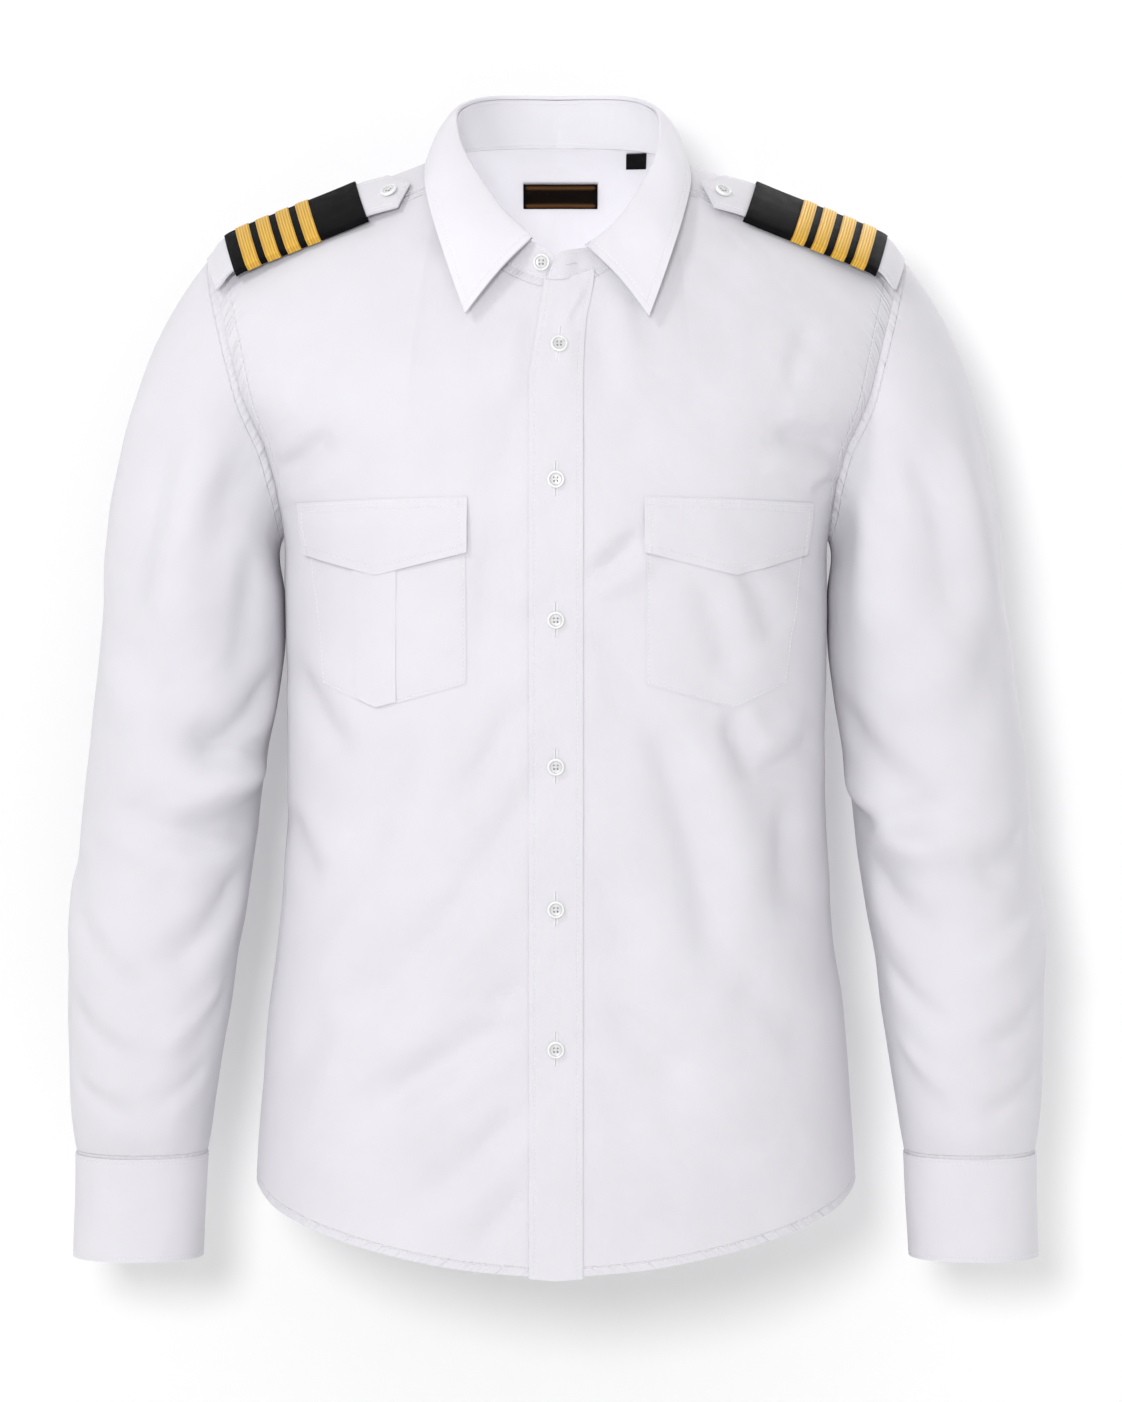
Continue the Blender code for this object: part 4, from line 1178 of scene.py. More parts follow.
def cotton_material():
    """White shirting: a plain weave, small crumples, ditches of the rows of stitches, puckers along seams."""
    n = Nodes("shirt_cotton_plain", 0.82, Sheen_Weight=0.12, Sheen_Roughness=0.5, Specular_IOR_Level=0.25)
    across, down = n.weave()
    place = n.place()
    fleck = n.streaks(n.times(across, 3.2), n.times(down, 0.9))
    n.colour(n.total((n.noise(place, 14.0), 0.6), (fleck, 0.4)), 0.3, 0.7, COTTON_DARK, COTTON_LIGHT)
    n.rough(fleck, 0.3, 0.7, 0.76, 0.9)
    weave = n.times(n.wave(across, WARP_PITCH), n.wave(down, WEFT_PITCH))
    slub = n.streaks(n.times(across, 1.6), n.times(down, 0.12))
    slub_weft = n.streaks(n.times(across, 0.12), n.times(down, 1.6))
    normal = n.bump(n.total((weave, 0.5), (slub, 0.8), (slub_weft, 0.8)), 0.00006)
    soft, small = n.noise(place, 26.0, 2.0, 0.5), n.noise(place, 80.0, 2.0, 0.5)
    x, y, z = n.axes()
    aside = n.math("ABSOLUTE", x)
    ahead, beside = n.math("SUBTRACT", aside, z), n.add(aside, z)
    stretched = n.vector(n.times(ahead, 11.0), n.times(y, 16.0), n.times(beside, 34.0))
    slant = n.noise(stretched, 1.0, 1.0, 0.5)
    normal = n.bump(n.total((soft, 0.6), (small, 0.14), (slant, 0.9)), 0.0018, normal)
    runs = [n.attribute(key) for key in ("seam_a", "seam_b", "seam_c")]
    ditch = n.total(*[(n.bell(run, STITCH_INSET, 0.55), 1.0) for run in runs])
    puff = n.total(*[(n.bell(run, STITCH_INSET * 0.5, STITCH_INSET * 0.9), 1.0) for run in runs])
    pull, along = n.attribute("pull"), n.attribute("pucker")
    deep = n.add(0.3, n.times(pull, 0.9))
    normal = n.bump(n.times(ditch, n.times(deep, -1.0)), 0.00028, normal)
    wave = n.streaks(n.times(along, 0.16), n.times(runs[0], 0.02), 1.0)
    wave_fine = n.streaks(n.times(along, 0.34), 3.0, 1.0)
    waves = n.math("SUBTRACT", n.total((wave, 1.0), (wave_fine, 0.5)), 0.75)
    return n.finish(n.bump(n.times(n.times(waves, puff), pull), 0.0016, normal))


def thread_material():
    """Twisted sewing thread."""
    n = Nodes("sewing_thread", 0.6, Sheen_Weight=0.2, Specular_IOR_Level=0.35)
    twist = n.noise(n.place(), 900.0, 1.0)
    n.colour(twist, 0.3, 0.7, (0.74, 0.73, 0.77), (0.86, 0.86, 0.88))
    return n.finish(n.bump(twist, 0.0001))


# ---------------------------------------------------------------- laid-on pieces

# Creases of the placket where it turns under the collar, in the columns of the fronts' folds
PLACKET_FOLDS = (
    (19, -91, 4, -116, 2.6, 0.9, 0),
    (3, -96, -6, -140, 4.0, -0.4, 0),
    (10, -118, 8, -150, 4.0, 0.35, 0),
)


def front_at(x, z, lift):
    """Points over the creased cloth of the fronts."""
    return on_front(x, z, lift + front_relief(x, z))


def placket_fine(rows_count):
    """The band down the closing, rows up from the hem."""
    across = np.linspace(-PLACKET_HALF_WIDTH, PLACKET_HALF_WIDTH, 25)
    foot = look_up(HEM, np.abs(across) / 203, 1) - 1.5
    top = look_up(NECK_FRONT, placket_x(across, PLACKET_TURN[0][0]), 1) + 0.4
    up = np.linspace(0, 1, rows_count)[:, None]
    z = foot + (top - foot) * up
    x = placket_x(across + 0 * z, z)
    crown = 0.25 * (1 - (across / PLACKET_HALF_WIDTH) ** 6)
    crease = 1.6 * line_folds(x, z, PLACKET_FOLDS)
    wander = 0.22 * ripple(x, z, 26, 8.0)
    return front_at(x, z, 0.95 + crown + crease + wander)


def pocket_foot():
    """Places and heights of the corners of a pocket's lower edge."""
    places = (POCKET_INNER, POCKET_FOOT_TIP[0], POCKET_OUTER_FOOT)
    return places, (POCKET_FOOT_INNER, POCKET_FOOT_TIP[1], POCKET_FOOT_OUTER)


def pocket_fine(side, columns, rows_count):
    """A pocket, rows up from its pointed foot."""
    share = np.linspace(0, 1, columns)
    (inner, tip, outer_foot), foot_heights = pocket_foot()
    foot = np.interp(share, (0, (tip - inner) / (outer_foot - inner), 1), foot_heights)
    up = np.linspace(0, 1, rows_count)[:, None]
    x = inner + (outer_foot + (POCKET_OUTER_TOP - outer_foot) * up - inner) * share
    z = foot + (POCKET_TOP_HEIGHT - foot) * up
    edge = np.minimum(np.minimum(share, 1 - share) * 100, up * 110)
    puff = 0.45 * (1 - np.exp(-((edge / 14) ** 2)))
    mouth = 0.3 * np.exp(-(((1 - up) * 110 / 20) ** 2)) * np.sin(share * math.pi)
    wander = 0.4 * ripple(x * side, z, 24, 5.0 + side)
    return front_at(x * side, z, 0.65 + puff + mouth + wander * np.clip(edge / 10, 0, 1))


def pleat_fine():
    """The box pleat on the wearer's right pocket."""
    up = np.linspace(0, 1, 50)[:, None]
    share = np.linspace(0, 1, 25)
    outer = PLEAT_OUTER_FOOT + (PLEAT_OUTER_TOP - PLEAT_OUTER_FOOT) * up
    x = PLEAT_INNER + (outer - PLEAT_INNER) * share
    at_foot = PLEAT_INNER + (PLEAT_OUTER_FOOT - PLEAT_INNER) * share
    foot = np.interp(at_foot, *pocket_foot()) + 0.8
    z = foot + (POCKET_TOP_HEIGHT - 1 - foot) * up
    return front_at(-x, z, 1.55 + 0.35 * share + 0.2 * np.sin(share * math.pi))


def flap_fine(side, lift):
    """A pocket flap, rows down from its seam; its lower part is lifted."""
    share = np.linspace(0, 1, 41)
    x, top, foot = (np.interp(share, column(FLAP, 0), column(FLAP, index)) for index in (1, 2, 3))
    down = np.linspace(0, 1, 26)[:, None]
    outward = 0.8 + (lift - 0.8) * np.clip(down / 0.4, 0, 1)
    curl = 0.4 * down**2 * np.cos(share * 9.0 + side)
    return front_at((x - down * 5.0 * share**2) * side, top + (foot - top) * down, outward + curl)


# How far a shoulder board slides to the front in its own plane, and how far its ends draw out along it
BOARD_SLIDE = ((97.0, 12.5), (226.0, 8.0))
STRAP_DRAW = ((110.0, 0.0), (216.0, 4.5))
SLIDER_DRAW = ((124.0, 5.5), (216.0, 0.0))


def board_point(side, x, across, lift, draw):
    """Point on a shoulder board as it lies in the photograph."""
    point = strap_point(side, x, across, lift)
    x = np.broadcast_to(x, point.shape[:-1])
    turned_over = np.array((side, 1, 1))
    slide = np.interp(x, *zip(*BOARD_SLIDE))[..., None] * np.array(BOARD_ACROSS) * turned_over
    drawn = np.interp(x, *zip(*draw))[..., None] * np.array(BOARD_ALONG) * turned_over
    return point - slide + drawn


def strap_half_width(x):
    return np.interp(x, (STRAP_POINT, STRAP_SHOULDER), (2.5, STRAP_HALF_WIDTH))


def epaulette_fine(side):
    """A shoulder board, rows from the armhole to its point."""
    x = np.linspace(STRAP_OUTER, STRAP_POINT, 90)[:, None]
    share = np.linspace(-1, 1, 21)
    across = share * strap_half_width(x)
    crown = 0.3 * (1 - share**4)
    return board_point(side, x + 0 * across, across, board_lift(x) - 0.3 + crown, STRAP_DRAW)


def tube_profile(turn, grown=0.0):
    """Section of a slider's flat tube, which may be grown: across and lift of its points."""
    middle, half_thick = sum(SLIDER_LIFT) / 2, (SLIDER_LIFT[1] - SLIDER_LIFT[0]) / 2 + grown
    across = powered(np.cos(turn), TUBE_POWER) * (SLIDER_HALF_WIDTH + grown)
    return across, middle + powered(np.sin(turn), TUBE_POWER) * half_thick


def slider_fine(side):
    """A slider's tube, rows inward from its outer end."""
    across, lift = tube_profile(np.linspace(0, 2 * math.pi, 176, endpoint=False))
    order = np.argsort(np.arctan2(lift - sum(SLIDER_LIFT) / 2, across))
    across, lift = across[order], lift[order]
    x = np.linspace(SLIDER_OUTER, SLIDER_OUTER - SLIDER_LENGTH * ALONG_SHOULDER, 60)[:, None]
    return board_point(side, x + 0 * across, across + 0 * x, lift + 0 * x, SLIDER_DRAW)


def bar_fine(side, start):
    """A rank bar: a strip of braid over the slider's face and down round both its edges."""
    across, lift = tube_profile(np.linspace(-0.03, 1.03, 91) * math.pi, 0.5)
    along = np.linspace(0, 1, 13)[:, None]
    x = SLIDER_OUTER - (start + BAR_WIDTH * along) * ALONG_SHOULDER
    crown = 0.2 * (1 - (2 * along - 1) ** 4)
    return board_point(side, x + 0 * across, across + 0 * x, lift + crown, SLIDER_DRAW)


def opened(grid, weight):
    """The wearer's left of the collar, its fold drawn out and down as it lies."""
    x, z = grid[..., 0], grid[..., 2]
    reach = np.interp(x, (4, 21), (0, 1)) * weight[:, None]
    aside = np.interp(z, (-62, -34, -8, 12, 30), (5.8, 7.8, 7.4, 3.8, 1.2))
    down = np.interp(z, (-62, -40, 0), (6.2, 5.0, 0.0))
    return grid + np.stack([aside * reach, 0 * x, -down * reach], axis=-1)


def stand_fine(count):
    """The collar stand from its right end to its lapped left end."""
    share = np.linspace(0, 1, count)
    right = stand_half(share, False, STAND_ROWS)[:, ::-1] * (-1, 1, 1)
    left = stand_half(share, True, STAND_ROWS)[:, 1:]
    return opened(np.concatenate([right, left], axis=1), np.linspace(0, 1, STAND_ROWS) ** 0.8)


def leaf_fine(count):
    """The collar leaf, rows from inside its fold to its edge."""
    left = leaf_half(np.linspace(0, 1, count), LEAF_ROWS)
    weight = np.interp(np.linspace(0, 1, LEAF_ROWS), (0, 0.3, 1), (1.0, 0.95, 0.3))
    return opened(np.concatenate([left[:, :0:-1] * (-1, 1, 1), left], axis=1), weight)


def part_of(grid, rows, columns, shape, outward, lift):
    """A small patch over part of a grid: between two rows and two columns, which may be fractions."""
    u = np.linspace(*rows, shape[0])[:, None] + np.zeros(shape)
    v = np.linspace(*columns, shape[1])[None] + np.zeros(shape)
    iu = np.clip(u.astype(int), 0, grid.shape[0] - 2)
    iv = np.clip(v.astype(int), 0, grid.shape[1] - 2)
    fu, fv = (u - iu)[..., None], (v - iv)[..., None]
    low = grid[iu, iv] * (1 - fv) + grid[iu, iv + 1] * fv
    high = grid[iu + 1, iv] * (1 - fv) + grid[iu + 1, iv + 1] * fv
    return raised(low * (1 - fu) + high * fu, lift * np.ones(shape), outward)


def buttonhole_profile(half, columns):
    """Columns across a buttonhole and the height of its two stitched lips."""
    across = np.linspace(-half, half, columns)
    lips = 0.34 * np.exp(-(((np.abs(across) - 0.62 * half) / (0.42 * half)) ** 2))
    return across, lips + 0.12


def placket_buttonhole(z):
    """The buttonhole behind a placket button."""
    across, lips = buttonhole_profile(1.5, 11)
    rows = np.linspace(z - 10.5, z + 11.5, 40)[:, None]
    return front_at(placket_x(0.0, rows) + across, rows, 1.12 + lips)


def inside_grid(low, high, inner, outer, columns, rows_count):
    """A tape sewn inside the upper back."""
    z = np.linspace(low, high, rows_count)[:, None]
    x = np.linspace(inner, outer, columns)
    x, z = x + 0 * z, z + 0 * x
    return inside_shoulder(x, back_angle(x, z), WALL + 0.5)


# ---------------------------------------------------------------- buttons


def turned(profile, segments):
    """Grid of a turned form: a row for each point of the profile."""
    turn = np.arange(segments) / segments * 2 * math.pi
    x, y = np.cos(turn), np.sin(turn)
    return np.array([np.stack([r * x, r * y, 0 * turn + h], axis=-1) for r, h in profile])


# Section of a button, from the middle of its underside round to its top, and of a hole: radius, height
BUTTON_PROFILE = (
    (0.05, 0.0),
    (4.9, 0.0),
    (5.45, 0.25),
    (5.7, 0.8),
    (5.65, 1.5),
    (5.35, 2.05),
    (4.95, 2.3),
    (4.5, 2.32),
    (4.05, 2.1),
    (3.75, 1.75),
    (3.5, 1.6),
    (2.4, 1.52),
    (0.05, 1.5),
)
HOLE_PROFILE = ((0.6, 1.62), (0.52, 1.66), (0.3, 1.6), (0.03, 1.58))


def frame_of(foot, normal):
    """Where a button sits: its foot and the three directions of its frame."""
    z = unit(np.asarray(normal, float))
    x = np.cross((0, 0, 1), z)
    x = unit(x) if np.linalg.norm(x) > 1e-6 else np.array((1.0, 0, 0))
    turn = Matrix(np.stack([x, np.cross(z, x), z], axis=-1).tolist())
    return Matrix.Translation(Vector(foot) * MM) @ turn.to_4x4()


def button(name, foot, normal):
    """A four-hole button with a rim, its holes and the thread that crosses between them."""
    body = turned(BUTTON_PROFILE, 48)
    disc = mesh_object(name + "_face", body, quads(*body.shape[:2], closed=True)[:, ::-1], PEARL)
    subdivide = disc.modifiers.new("Smooth", "SUBSURF")
    subdivide.levels = subdivide.render_levels = 1
    holes, faces = [], []
    for number, (x, y) in enumerate(((1.15, 1.15), (-1.15, 1.15), (-1.15, -1.15), (1.15, -1.15))):
        cup = turned(HOLE_PROFILE, 16) + (x, y, 0.0)
        faces.append(quads(4, 16, closed=True)[:, ::-1] + number * 64)
        holes.append(cup.reshape(-1, 3))
    # The darkness of the hole cups is painted shade
    pit = mesh_object(name + "_holes", np.concatenate(holes), np.concatenate(faces), HOLE_SHADE)
    lines = []
    for x, y in ((1, 1), (-1, 1)):
        for off in (-0.17, 0.17):
            ends = np.array([[-1.1 * x, -1.1 * y, 1.72], [0, 0, 2.05], [1.1 * x, 1.1 * y, 1.72]])
            lines.append(path(ends + np.array([-y, x, 0]) * off, np.linspace(0, 1, 9)))
    knot = stitches(name + "_thread", lines, THREAD, outward_straight_up, pitch=3.0, length=3.1, radius=0.17)
    for part in (disc, pit, knot):
        part.matrix_world = frame_of(foot, normal)
    return disc, pit, knot


def button_material():
    """Pearly white plastic with faint clouds; the dish inside its rim is painted darker as shade, with a
    darker painted ring where the dish meets the rim.
    """
    n = Nodes("button_pearl", 0.22, Coat_Weight=0.3, Coat_Roughness=0.15)
    cloud = n.noise(n.place(), 420.0)
    x, y, _ = n.axes()
    radius = n.math("SQRT", n.add(n.times(x, x), n.times(y, y)))
    # Painted shade: the dish is darker than the rim, and a darker ring runs along its edge
    step = n.bell(radius, 0.0040, 0.0005)
    well = n.spread(radius, 0.0034, 0.0044, 0.42, 0.0)
    shade = n.math("SUBTRACT", n.times(cloud, 0.5), n.add(well, n.times(step, 0.35)))
    n.colour(n.add(shade, 0.5), 0.1, 0.75, (0.5, 0.5, 0.51), (0.8, 0.8, 0.8))
    n.rough(cloud, 0.3, 0.7, 0.18, 0.3)
    return n.finish(n.bump(cloud, 0.00004))


def hole_shade_material():
    """Painted shade: dark shallow cups that stand for the shade inside a button's holes."""
    n = Nodes("button_holes_painted_shade", 0.7)
    n.colour(n.noise(n.place(), 1500.0, 1.0), 0.3, 0.7, (0.12, 0.12, 0.13), (0.2, 0.2, 0.21))
    return n.material


def satin_material():
    """Black satin: floats in fine diagonal lines."""
    n = Nodes("black_satin", 0.6, Specular_IOR_Level=0.05)
    across, down = n.weave()
    float_line = n.wave(n.add(n.times(across, 0.62), down), 0.55)
    cloud = n.noise(n.place(), 120.0)
    n.colour(cloud, 0.3, 0.7, (0.003, 0.003, 0.0035), (0.007, 0.007, 0.008))
    n.rough(cloud, 0.3, 0.7, 0.5, 0.66)
    normal = n.bump(n.total((float_line, 0.5), (n.wave(across, 0.3), 0.25)), 0.00007)
    return n.finish(n.bump(n.noise(n.place(), 55.0, 2.0), 0.0006, normal))


def braid_material():
    """Gold braid: metal yarns in fine lines along the bar, a slanting weave across them, firm edge cords."""
    n = Nodes("gold_braid_yarn", 0.45, Metallic=0.2, Specular_IOR_Level=0.3)
    across, down = n.weave()
    half = n.math("ABSOLUTE", n.math("SUBTRACT", down, BAR_WIDTH / 2))
    yarn = n.wave(down, 1.9)
    slant = n.wave(n.add(across, n.times(half, 0.8)), 0.9)
    streak = n.streaks(n.times(across, 0.05), n.times(down, 1.7))
    cord = n.bell(half, BAR_WIDTH / 2 - 0.5, 0.4)
    shade = n.total((yarn, 0.2), (slant, 0.05), (streak, 0.75), (cord, -0.25))
    n.colour(shade, 0.0, 0.8, (0.44, 0.21, 0.01), (0.93, 0.6, 0.105))
    n.rough(slant, -1.0, 1.0, 0.48, 0.32)
    return n.finish(n.bump(n.total((slant, 0.25), (yarn, 0.5), (cord, 0.8)), 0.00016))


def buttonhole_material():
    """Close stitches across both lips of a buttonhole, and the slit between them, which is painted darker as
    shade.
    """
    n = Nodes("buttonhole_thread", 0.6, Sheen_Weight=0.2, Specular_IOR_Level=0.3)
    across, down = n.weave()
    # Painted shade: the slit between the lips is darker
    slit, thread = n.bell(across, 0.0, 0.22), n.wave(down, 0.5)
    shade = n.total((slit, -0.8), (thread, 0.06))
    n.colour(n.add(shade, 0.9), 0.1, 0.9, (0.52, 0.51, 0.55), (0.8, 0.79, 0.82))
    return n.finish(n.bump(n.total((thread, 0.5), (slit, -2.0)), 0.00012))


def tape(name):
    """A ribbed tape: its material, its threads and the normal of its ribs."""
    n = Nodes(name, 0.8, Specular_IOR_Level=0.06)
    across, down = n.weave()
    thread = n.streaks(n.times(across, 4.0), down)
    return n, thread, n.bump(n.wave(down, 0.5), 0.00008)


def label_material():
    """Dark woven tape with plain bands, with no lettering."""
    n, thread, ribs = tape("woven_label_tape")
    band = n.add(n.bell(n.attribute("seam_a"), 2.6, 1.4), n.bell(n.attribute("seam_b"), 2.6, 1.4))
    shade = n.total((thread, 0.5), (band, 0.6), (n.bell(n.attribute("seam_c"), 0.0, 1.6), -0.9))
    n.colour(shade, 0.25, 0.95, (0.004, 0.003, 0.003), (0.2, 0.09, 0.03))
    return n.finish(ribs)


def tab_material():
    """Dark bare tape."""
    n, thread, ribs = tape("size_tab_tape")
    n.colour(thread, 0.3, 0.7, (0.004, 0.004, 0.005), (0.012, 0.012, 0.013))
    return n.finish(ribs)


# ---------------------------------------------------------------- the shirt

COTTON = cotton_material()
THREAD = thread_material()
PEARL = button_material()
HOLE_SHADE = hole_shade_material()
SATIN = satin_material()
BRAID = braid_material()
LABEL = label_material()
BUTTONHOLE = buttonhole_material()
TAB = tab_material()


# Directions that agree with the outer side of a piece


def outward_from_axis(point):
    return point * (1, 1, 0)


def outward_from_sleeve(side):
    return lambda point: (point - np.array([side * SLEEVE_AXIS, 0, 0])) * (1, 1, 0)


def outward_from_neck(point):
    return (point - np.array([0, -15.0, 0])) * (1, 1, 0)


def outward_up(point):
    return point * (0.1, 1, 0) + (0, 0, 150.0)


def outward_straight_up(point):
    return point * 0 + (0, 0, 1.0)


def outward_forward(point):
    return point * (0.3, 1, 0)


def keep(piece, node):
    """The piece rides on the body and stands for its node."""
    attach(piece, "root")
    if node:
        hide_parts(node)


def add_cloth(node, grid, outward, material=COTTON, ending="cloth", slot="shirt_cotton", **how):
    """A piece of cloth that stands for its node."""
    keep(cloth(node + "_" + ending, grid, material, outward, **how), node)


def add_sewing(node, grid, outward, *rows, more=()):
    """The stitches of a piece: rows along edges of its grid, and other lines."""
    lines = [*[track(grid, *row) for row in rows], *more]
    keep(stitches(node + "_sewing", lines, THREAD, outward), None)


def add_buttonhole(name, grid, outward):
    keep(cloth(name, grid, BUTTONHOLE, outward, wall=0.2), None)


def at_armhole(grid, where):
    """Distance from the armhole along a side, which only runs above the armpit."""
    return np.where(grid[..., 2] > ARMPIT_HEIGHT - 4, edge_distance(grid, where) * 0.6, NO_SEAM)


def armhole_row(grid, where):
    """The row of stitches round an armhole."""
    row = track(grid, where, 9.0)
    return row[row[:, 2] > ARMPIT_HEIGHT + 6]


def add_fronts():
    for (name, side), inner in zip(SIDES, (-RIGHT_FRONT_EDGE, LEFT_FRONT_EDGE)):
        node = "front_" + name
        grid = front_fine(side, inner, columns=66, low_rows=92, high_rows=50)
        grid = raised(grid, body_relief(grid), outward_from_axis)
        arm = at_armhole(grid, "right")
        fields = seams(grid, 0, arm, "first", "last", pucker="corner", pull=STRONG_PULL)
        add_cloth(node, grid, outward_from_axis, fields=fields, tucks=(("last", 2.0, 0.9),))
        rows = (("first", 5.4), ("last", 2.0, 0.33, 1.0))
        add_sewing(node, grid, outward_forward, *rows, more=[armhole_row(grid, "right")])


def add_back():
    grid = back_fine(columns=120, low_rows=84, high_rows=34)
    grid = raised(grid, body_relief(grid), outward_from_axis)
    arm = at_armhole(grid, "sides")
    fields = seams(grid, 0, arm, "first", pucker="corner", pull=STRONG_PULL)
    tucks = (("last", 2.0, 0.9), ("left", 1.4, 0.9), ("right", 1.4, 0.9))
    add_cloth("back", grid, outward_from_axis, fields=fields, tucks=tucks)
    arms = [armhole_row(grid, where) for where in ("left", "right")]
    add_sewing("back", grid, outward_forward, ("first", 5.4), more=arms)


def add_yoke():
    grid = yoke_fine(columns=64, rows_count=40)
    arm = edge_distance(grid, "sides") * 0.6
    fields = seams(grid, 3.4, arm, "first", "last", pucker="first")
    add_cloth("yoke", grid, outward_up, fields=fields)
    add_sewing("yoke", grid, outward_up, ("first", 2.0), ("last", 2.0, 0.0, 0.17), ("last", 2.0, 0.83, 1.0))


def add_placket():
    grid = placket_fine(rows_count=260)
    fields = seams(grid, 1.8, "left", "right", pucker="first")
    add_cloth("placket", grid, outward_forward, wall=0.6, fields=fields)
    add_sewing("placket", grid, outward_forward, ("left", 3.6), ("right", 3.6))


def add_sleeve(name, side, outward):
    grid, angle = sleeve_fine(side, columns=112, cap_rows=60, low_rows=110)
    relief = sleeve_relief(side, angle[None] + 0 * grid[..., 2], grid[..., 2])
    grid = raised(grid, relief, outward, closed=True)
    cuff_seam = edge_distance(grid, "last") + 3.4
    fields = seams(grid, 0, "first", seam_c=cuff_seam, pucker=angle * SLEEVE_GIRTH, pull=STRONG_PULL)
    tucks = (("first", 2.4, 1.3), ("last", 2.4, 1.3))
    add_cloth("sleeve_" + name, grid, outward, closed=True, fields=fields, tucks=tucks)


def add_sleeve_placket(name, side, outward):
    rows = []
    for height in np.linspace(-666.5, -525, 60):
        section = section_at(SLEEVE, height)
        turn = CUFF_START + CUFF_OVERLAP / 2 + np.linspace(-11, 11, 11) / section[4]
        rows.append(pushed_out(section, turn, 1.2 + sleeve_relief(side, turn, height + 0 * turn)))
    slit = np.array(rows) * (side, 1, 1)
    node = "sleeve_placket_" + name
    add_cloth(node, slit, outward, fields=seams(slit, 3.6, "left", "right"))
    add_sewing(node, slit, outward, ("left", 1.8), ("right", 1.8), ("last", 1.8))


def add_cuff(name, side, outward):
    heights = np.linspace(CUFF[0][0], CUFF[-1][0], 34)
    band = cuff_band(heights, CUFF_COLUMNS) * (side, 1, 1)
    wave = 0.5 * ripple(np.arange(CUFF_COLUMNS)[None] * 2.1, heights[:, None], 34, 7.0 + side)
    band = raised(band, wave * np.ones_like(band[..., 0]), outward)
    node = "cuff_" + name
    add_cloth(node, band, outward, wall=1.5, fields=seams(band, 2.8, "first", "last", "right", pucker="left"))
    add_sewing(node, band, outward, ("first", 2.6), ("last", 2.6), ("right", 2.6, 0.04, 0.96))
    spot = band[14, -11]
    nearby = np.cross(band[14, -9] - band[14, -13], band[17, -11] - band[11, -11])
    add_button("cuff_button_" + name, spot, nearby * np.sign((nearby * outward(spot)).sum()))
    hole = part_of(band, (13.0, 15.0), (-15.0, -6.5), (11, 24), outward, 0.3)
    add_buttonhole("cuff_buttonhole_" + name, np.swapaxes(hole, 0, 1), outward)


def add_sleeves():
    for name, side in SIDES:
        for add in (add_sleeve, add_sleeve_placket, add_cuff):
            add(name, side, outward_from_sleeve(side))


def left_front_run(row):
    """Places and column numbers of the front end of the collar stand on the wearer's left."""
    columns = np.arange(len(row))[-14:]
    order = np.argsort(row[columns, 0])
    return row[columns, 0][order], columns[order]


def add_stand():
    grid = stand_fine(90)
    fields = seams(grid, 3.0, "first", "last", "sides")
    add_cloth("collar_stand", grid, outward_from_neck, wall=1.5, fields=fields)
    rows = (("first", 2.0), ("last", 2.0, 0.0, 0.12), ("last", 2.0, 0.88, 1.0))
    add_sewing("collar_stand", grid, outward_from_neck, *rows)
    row = grid[9]
    before = np.searchsorted(-row[:14, 0], -STAND_BUTTON_X) - 1
    spot = row[before] + (row[before + 1] - row[before]) * 0.5
    normal = np.cross(row[before + 1] - row[before - 1], grid[12, before] - grid[6, before])
    add_button("stand_button", spot, normal * -np.sign(normal[1]))
    ends = [np.interp(x, *left_front_run(row)) for x in (6.5, 13.5)]
    hole = part_of(grid, (8.6, 9.7), ends, (11, 20), outward_from_neck, 0.25)
    add_buttonhole("stand_buttonhole", np.swapaxes(hole, 0, 1), outward_from_neck)


def add_leaf():
    leaf = leaf_fine(96)
    wave = 0.8 * ripple(leaf[..., 0], leaf[..., 2] + leaf[..., 1], 42, 4.0)
    leaf = raised(leaf, wave * np.clip(np.linspace(-0.25, 1, LEAF_ROWS), 0, 1)[:, None], outward_from_neck)
    fields = seams(leaf, 0, "last", "sides", pucker="left")
    add_cloth("collar_leaf", leaf, outward_from_neck, wall=1.5, fields=fields)
    rows = (("last", 5.4, 0.03, 0.97), ("left", 5.4, 0.1, 0.88), ("right", 5.4, 0.1, 0.88))
    add_sewing("collar_leaf", leaf, outward_from_neck, *rows)


def add_pockets():
    for name, side in SIDES:
        grid = pocket_fine(side, columns=48, rows_count=56)
        fields = seams(grid, 3.6, "left", "right", "first", pucker="corner")
        add_cloth("pocket_" + name, grid, outward_forward, wall=0.6, fields=fields)
        add_sewing("pocket_" + name, grid, outward_forward, ("left", 1.7), ("right", 1.7), ("first", 1.7))
        flap = flap_fine(side, 2.9 if side < 0 else 2.3)
        fields = seams(flap, 0, "last", "sides", seam_c=edge_distance(flap, "first") - 0.6, pucker="left")
        add_cloth("pocket_flap_" + name, flap, outward_forward, wall=0.6, fields=fields)
        rows = [("last", 5.4, 0.04, 0.96), ("left", 5.4, 0.1, 0.9), ("right", 5.4, 0.1, 0.9)]
        rows += [("first", 2.0, 0.01, 0.99), ("first", 6.0, 0.03, 0.97)]
        add_sewing("pocket_flap_" + name, flap, outward_forward, *rows)
    add_cloth("pocket_pleat_right", pleat_fine(), outward_forward, wall=0.5)


def add_epaulette(name, side):
    grid = epaulette_fine(side)
    add_cloth("epaulette_" + name, grid, outward_up, wall=1.5, fields=seams(grid, 1.4, "sides", "last"))
    rows = (("left", 4.0), ("right", 4.0), ("last", 4.5, 0.3, 0.7))
    add_sewing("epaulette_" + name, grid, outward_up, *rows)


def add_slider(name, side):
    tube = slider_fine(side)
    centre = tube.mean(axis=1, keepdims=True)

    def outward(point):
        return point - centre if point.shape == tube.shape else outward_straight_up(point)

    add_cloth("slider_" + name, tube, outward, SATIN, "satin", "slider_satin", closed=True)
    for number, start in enumerate(BAR_STARTS, 1):
        node = "rank_bar_%s_%d" % (name, number)
        add_cloth(node, bar_fine(side, start), outward_up, BRAID, "braid", "gold_braid", wall=0.4)


